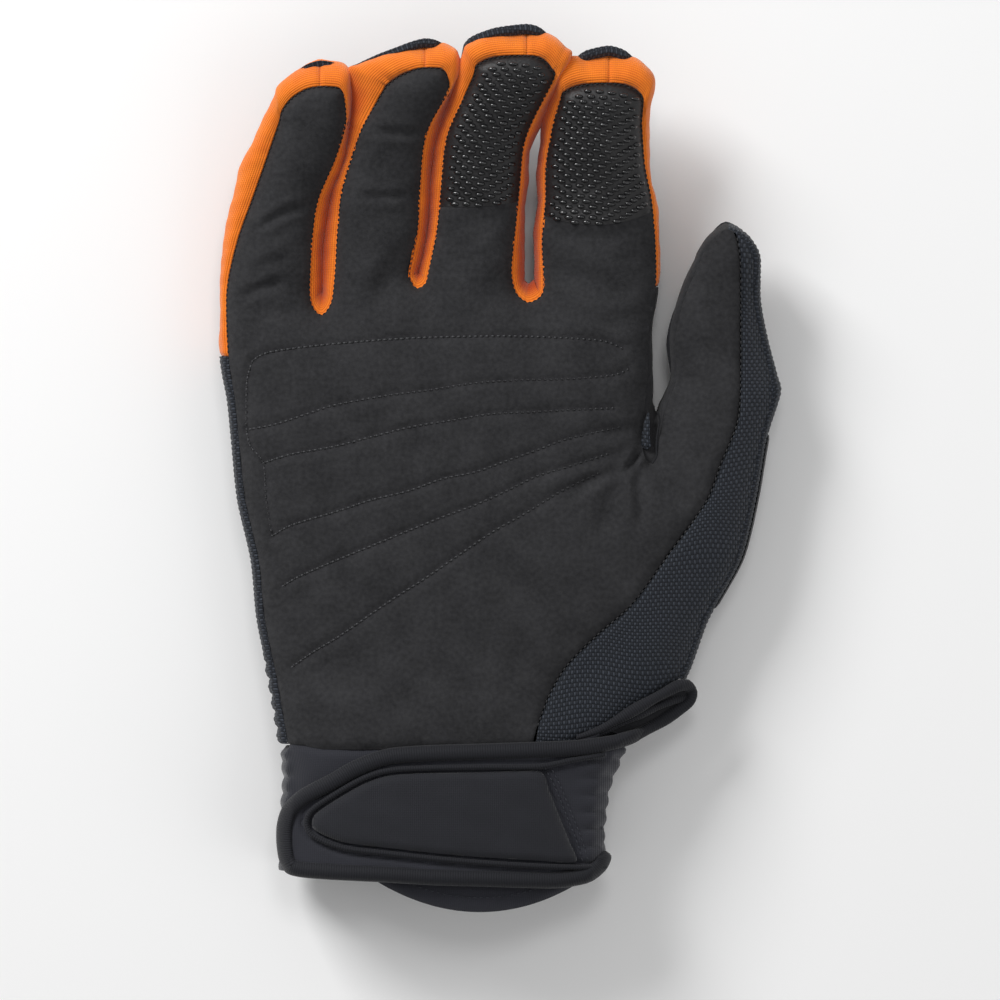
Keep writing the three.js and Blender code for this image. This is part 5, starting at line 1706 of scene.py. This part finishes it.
def set_on_points(tree, entry, leave, points, instance, turn, scale):
    """Copies of a shape on points, made real, smooth and of the input's material."""
    copies = node(tree, "GeometryNodeInstanceOnPoints", None, {
        "Points": points, "Instance": instance, "Rotation": turn, "Scale": scale})
    real = node(tree, "GeometryNodeRealizeInstances", None, {0: copies.outputs[0]})
    smoothed = node(tree, "GeometryNodeSetShadeSmooth", None, {0: real.outputs[0]})
    done = node(tree, "GeometryNodeSetMaterial", None, {
        "Geometry": smoothed.outputs[0], "Material": entry.outputs["Material"]})
    tree.links.new(done.outputs[0], leave.inputs[0])


def dot_tree():
    """A dome on every point, turned to its facing and a little uneven in size."""
    tree, sockets, entry, leave = new_tree("printed_dots", [
        ("Dot width", "NodeSocketFloat"), ("Dot length", "NodeSocketFloat"),
        ("Dot height", "NodeSocketFloat"), ("Material", "NodeSocketMaterial")])
    dome = node(tree, "GeometryNodeMeshUVSphere", {"Segments": 12, "Rings": 8, "Radius": 0.5})
    size = node(tree, "ShaderNodeCombineXYZ", None, {
        "X": entry.outputs["Dot width"], "Y": entry.outputs["Dot length"],
        "Z": entry.outputs["Dot height"]})
    facing = node(tree, "GeometryNodeInputNamedAttribute", {
        "data_type": "FLOAT_VECTOR", "Name": "facing"}).outputs["Attribute"]
    turn = node(tree, "FunctionNodeAlignRotationToVector", {"axis": "Z"}, {"Vector": facing})
    vary = node(tree, "FunctionNodeRandomValue", {"data_type": "FLOAT_VECTOR", "Seed": 7})
    vary.inputs["Min"].default_value = (0.85, 0.85, 0.8)
    vary.inputs["Max"].default_value = (1.12, 1.12, 1.2)
    scale = node(tree, "ShaderNodeVectorMath", {"operation": "MULTIPLY"}, {
        0: size.outputs[0], 1: vary.outputs[0]})
    set_on_points(tree, entry, leave, entry.outputs["Geometry"], dome.outputs[0],
                  turn.outputs[0], scale.outputs[0])
    return tree, sockets


def stitch_tree():
    """Short capsules along a path: one stitch every pitch, turned along the path."""
    tree, sockets, entry, leave = new_tree("row_of_stitches", [
        ("Pitch", "NodeSocketFloat"), ("Stitch length", "NodeSocketFloat"),
        ("Thread", "NodeSocketFloat"), ("Material", "NodeSocketMaterial")])
    path = node(tree, "GeometryNodeMeshToCurve", None, {0: entry.outputs["Geometry"]})
    spaced = node(tree, "GeometryNodeResampleCurve", {"mode": "LENGTH"}, {
        "Curve": path.outputs[0], "Length": entry.outputs["Pitch"]})
    capsule = node(tree, "GeometryNodeMeshUVSphere", {"Segments": 8, "Rings": 6, "Radius": 0.5})
    size = node(tree, "ShaderNodeCombineXYZ", None, {
        "X": entry.outputs["Stitch length"], "Y": entry.outputs["Thread"],
        "Z": entry.outputs["Thread"]})
    tangent = node(tree, "GeometryNodeInputTangent").outputs[0]
    turn = node(tree, "FunctionNodeAlignRotationToVector", {"axis": "X"}, {"Vector": tangent})
    set_on_points(tree, entry, leave, spaced.outputs[0], capsule.outputs[0],
                  turn.outputs[0], size.outputs[0])
    return tree, sockets


DOTS, DOT_INPUTS = dot_tree()
STITCHES, STITCH_INPUTS = stitch_tree()


def grown(name, seed_mesh, tree, sockets, values):
    """Run a tree on a seed mesh and keep the result as a plain riding mesh."""
    source = placed(name + "_seed", seed_mesh)
    modifier = source.modifiers.new("grow", "NODES")
    modifier.node_group = tree
    for label, value in values.items():
        modifier[sockets[label]] = value
    evaluated = source.evaluated_get(bpy.context.evaluated_depsgraph_get())
    mesh = bpy.data.meshes.new_from_object(evaluated)
    bpy.data.objects.remove(source)
    mesh.name = name
    places = np.empty(len(mesh.vertices) * 3, np.float32)
    mesh.vertices.foreach_get("co", places)
    map_cloth(mesh, places.reshape(-1, 3)[:, :2] * 1000)
    return riding(name, mesh)


# %% [markdown]
# ### The rows of dots
# A printing screen has straight staggered rows, but the cloth has since bent
# round the finger. So each row starts on the finger's middle line and steps
# sideways, with shorter steps where the cloth falls away.

# %% Points of the print, row by row
ROW_PITCH, DOT_PITCH, PRINT_HALF_WIDTH = 1.3, 3.0, 14
DOT_WIDTH, DOT_LENGTH, DOT_HEIGHT, DOT_LIFT = 2.15, 1.10, 1.25, 0.2


def slope_at(x, y):
    return float(steepness(palm_height, np.array([x]), np.array([y]))[0])


def print_points(name):
    """Staggered rows that bend with the finger, kept inside the print."""
    loop = print_outline(name, -1.5)
    table = np.array(FINGERS[name][0])
    tip = table[-1]
    low, high = loop.min(0), loop.max(0)
    grid = []
    y, row = low[1] - 2, 0
    while y < high[1] + 2:
        beyond = 0.45 * (y - tip[0])
        left = np.interp(y, table[:, 0], table[:, 1], right=tip[1] + beyond)
        right = np.interp(y, table[:, 0], table[:, 2], right=tip[2] + beyond)
        middle = (left + right) / 2
        start = (row % 2) * DOT_PITCH / 2
        for way, x in ((1, start), (-1, start - DOT_PITCH)):
            while abs(x) < PRINT_HALF_WIDTH:
                grid.append([middle + x, y - 0.012 * x * x - 0.12 * x])
                x += way * DOT_PITCH / slope_at(middle + x, y)
        y += ROW_PITCH / slope_at(middle, y)
        row += 1
    grid = np.array(grid)
    return grid[inside(grid, loop)]


for name in PRINTED:
    x, y = print_points(name).T
    slope_x = palm_height(x + 0.5, y) - palm_height(x - 0.5, y)
    slope_y = palm_height(x, y + 0.5) - palm_height(x, y - 0.5)
    seed = mesh_of("dot_points", np.column_stack([x, y, surface(x, y) + DOT_LIFT]))
    facing = seed.attributes.new("facing", "FLOAT_VECTOR", "POINT")
    facing.data.foreach_set("vector", np.column_stack([-slope_x, -slope_y, np.ones(len(x))]).ravel())
    grown("grip_dots_" + name, seed, DOTS, DOT_INPUTS, {
        "Dot width": DOT_WIDTH / 1000, "Dot length": DOT_LENGTH / 1000,
        "Dot height": DOT_HEIGHT / 1000, "Material": silicone})
    print("dots on the", name, "finger:", len(x))

# %% [markdown]
# ## Stitches
# A stitch is a short capsule of thread. The same tree sews every seam: only the
# pitch, the length and the thread change. The quilting stitches lie in their
# grooves; the seam stitches sit in the dark line between two cloths.

# %% Sew the seams
def seed_path(lines):
    """Edges through 3-D millimetre points, one chain for each line."""
    edges, start = [], 0
    for line in lines:
        edges.extend((start + i, start + i + 1) for i in range(len(line) - 1))
        start += len(line)
    return mesh_of("stitch_path", np.vstack(lines), edges)


def sew(name, lines, pitch, length, thread, material):
    """Stitches along lines; pitch, length and thread are millimetres."""
    return grown(name, seed_path(lines), STITCHES, STITCH_INPUTS, {
        "Pitch": pitch / 1000, "Stitch length": length / 1000,
        "Thread": thread / 1000, "Material": material})


def over(height, flat, lift):
    """A flat line lifted to a height function and some way above it."""
    return np.column_stack([flat, height(*flat.T) + lift])


# The thread shows as light beads; after each, a black capsule is painted shade for the dark needle hole.
sew("quilting_stitches", [over(surface, line, 0.1) for line in QUILT], 1.4, 0.82, 0.5, thread_grey)
sew("quilting_hole_shade", [over(surface, line[1:], 0.03) for line in QUILT], 1.4, 0.72, 0.7, black_thread_and_shade)

# Each fingertip seam is the palm's edge, a little in and a little down. A tape
# under it closes the small gaps where it turns sharply.
seam_lines = [samples(MARK[first] + 0.1, MARK[last] - 0.1, 0.5) for _, first, last in KNIT_PIECES]
edge_lines = [over(palm_height, moved_seam(st, -0.12), -0.5) for st in seam_lines]
tape_lines = [over(palm_height, moved_seam(st, -0.1), -1.9) for st in seam_lines]
sew("fingertip_seam_stitches", edge_lines, STITCH_PITCH, 0.8, 0.3, black_thread_and_shade)
add_piece("seam_tape", merged(*[tube(line, 0.5, 8) for line in tape_lines]), lining_and_shade)
sew("woven_seam_stitches", [over(palm_height, woven_curve, -0.45)], 1.5, 1.05, 0.42, black_thread_and_shade)

# Two rows beside the raised panel and one along the tongue's end.
tongue_x = np.linspace(-24, 14, 60)
tongue_y = TONGUE_END + TONGUE_CURVE * (tongue_x - TONGUE_X) ** 2 + 3.6
strap_rows = [
    at_level(pushed(slant, -1.7), STRAP_TOP + 0.1), at_level(pushed(slant, -3.0), STRAP_TOP + 0.32),
    over(palm_height, np.column_stack([tongue_x, tongue_y]), 0.06)]
sew("strap_stitches", strap_rows, 1.5, 0.9, 0.34, thread_navy)

# %% [markdown]
# ## Floor, light and camera
# The picture looks straight down on the palm. A long lens far above keeps the
# perspective flat, and the pale floor lies just under the back of the glove.

# %% Stage
PAPER, PAPER_DROP = 3.0, 0.0003
# Place, size and power of each lamp, all turned to the glove.
LAMPS = {"key_softbox": ((-0.75, 0.85, 0.75), 0.55, 15.0),
         "fill_softbox": ((0.9, -0.4, 0.8), 1.0, 2.5),
         "top_softbox": ((0.1, 0.5, 1.5), 0.35, 3.0)}
scene = bpy.context.scene
scene.view_settings.view_transform = "Standard"


def add_floor():
    """A sheet of white paper just under the glove."""
    mesh = bpy.data.meshes.new("floor")
    corners = [(-PAPER, -PAPER, 0), (PAPER, -PAPER, 0), (PAPER, PAPER, 0), (-PAPER, PAPER, 0)]
    mesh.from_pydata(corners, [], [(0, 1, 2, 3)])
    plane = placed("floor", mesh)
    plane.location = (0, 0, -PAPER_DROP)
    material = bpy.data.materials.new("white_paper_floor")
    material.use_nodes = True
    shader = material.node_tree.nodes["Principled BSDF"]
    shader.inputs["Base Color"].default_value = linear("F6F6F6")
    shader.inputs["Roughness"].default_value = 0.9
    mesh.materials.append(material)


def add_light(name, place, size, power):
    """A soft square lamp, turned to face the origin."""
    data = bpy.data.lights.new(name, "AREA")
    data.shape = "SQUARE"
    data.size = size
    data.energy = power
    lamp = placed(name, data)
    lamp.location = place
    lamp.rotation_euler = (-Vector(place)).to_track_quat("-Z", "Y").to_euler()


add_floor()
for lamp_name, lamp in LAMPS.items():
    add_light(lamp_name, *lamp)
world = bpy.data.worlds.new("studio")
scene.world = world
world.use_nodes = True
background = world.node_tree.nodes["Background"]
background.inputs["Color"].default_value = (1, 1, 1, 1)
background.inputs["Strength"].default_value = 0.38

# %% [markdown]
# ### A camera straight above
# The picture is 245 mm wide at the height of the palm. The lens follows from
# that width, the sensor and the camera's height, so no view is tuned by eye.

# %% Camera
CAMERA_HEIGHT, SENSOR, PICTURE_WIDTH = 1.8, 36.0, 0.245
LOOK_AT = np.array([-0.245, -7.84, 22.0]) + SHIFT
camera_data = bpy.data.cameras.new("camera")
camera_data.sensor_width = SENSOR
camera_data.lens = SENSOR * CAMERA_HEIGHT / PICTURE_WIDTH
camera = placed("camera", camera_data)
camera.location = (LOOK_AT[0] / 1000, LOOK_AT[1] / 1000, LOOK_AT[2] / 1000 + CAMERA_HEIGHT)
scene.camera = camera
print("lens:", round(camera_data.lens), "mm")

# %% [markdown]
# ## Count the triangles
# The triangles of all the finished pieces are added up and printed.

# %% Sizes and finish
bpy.context.view_layer.update()
print("triangles in all:", sum(TRIANGLES.values()))
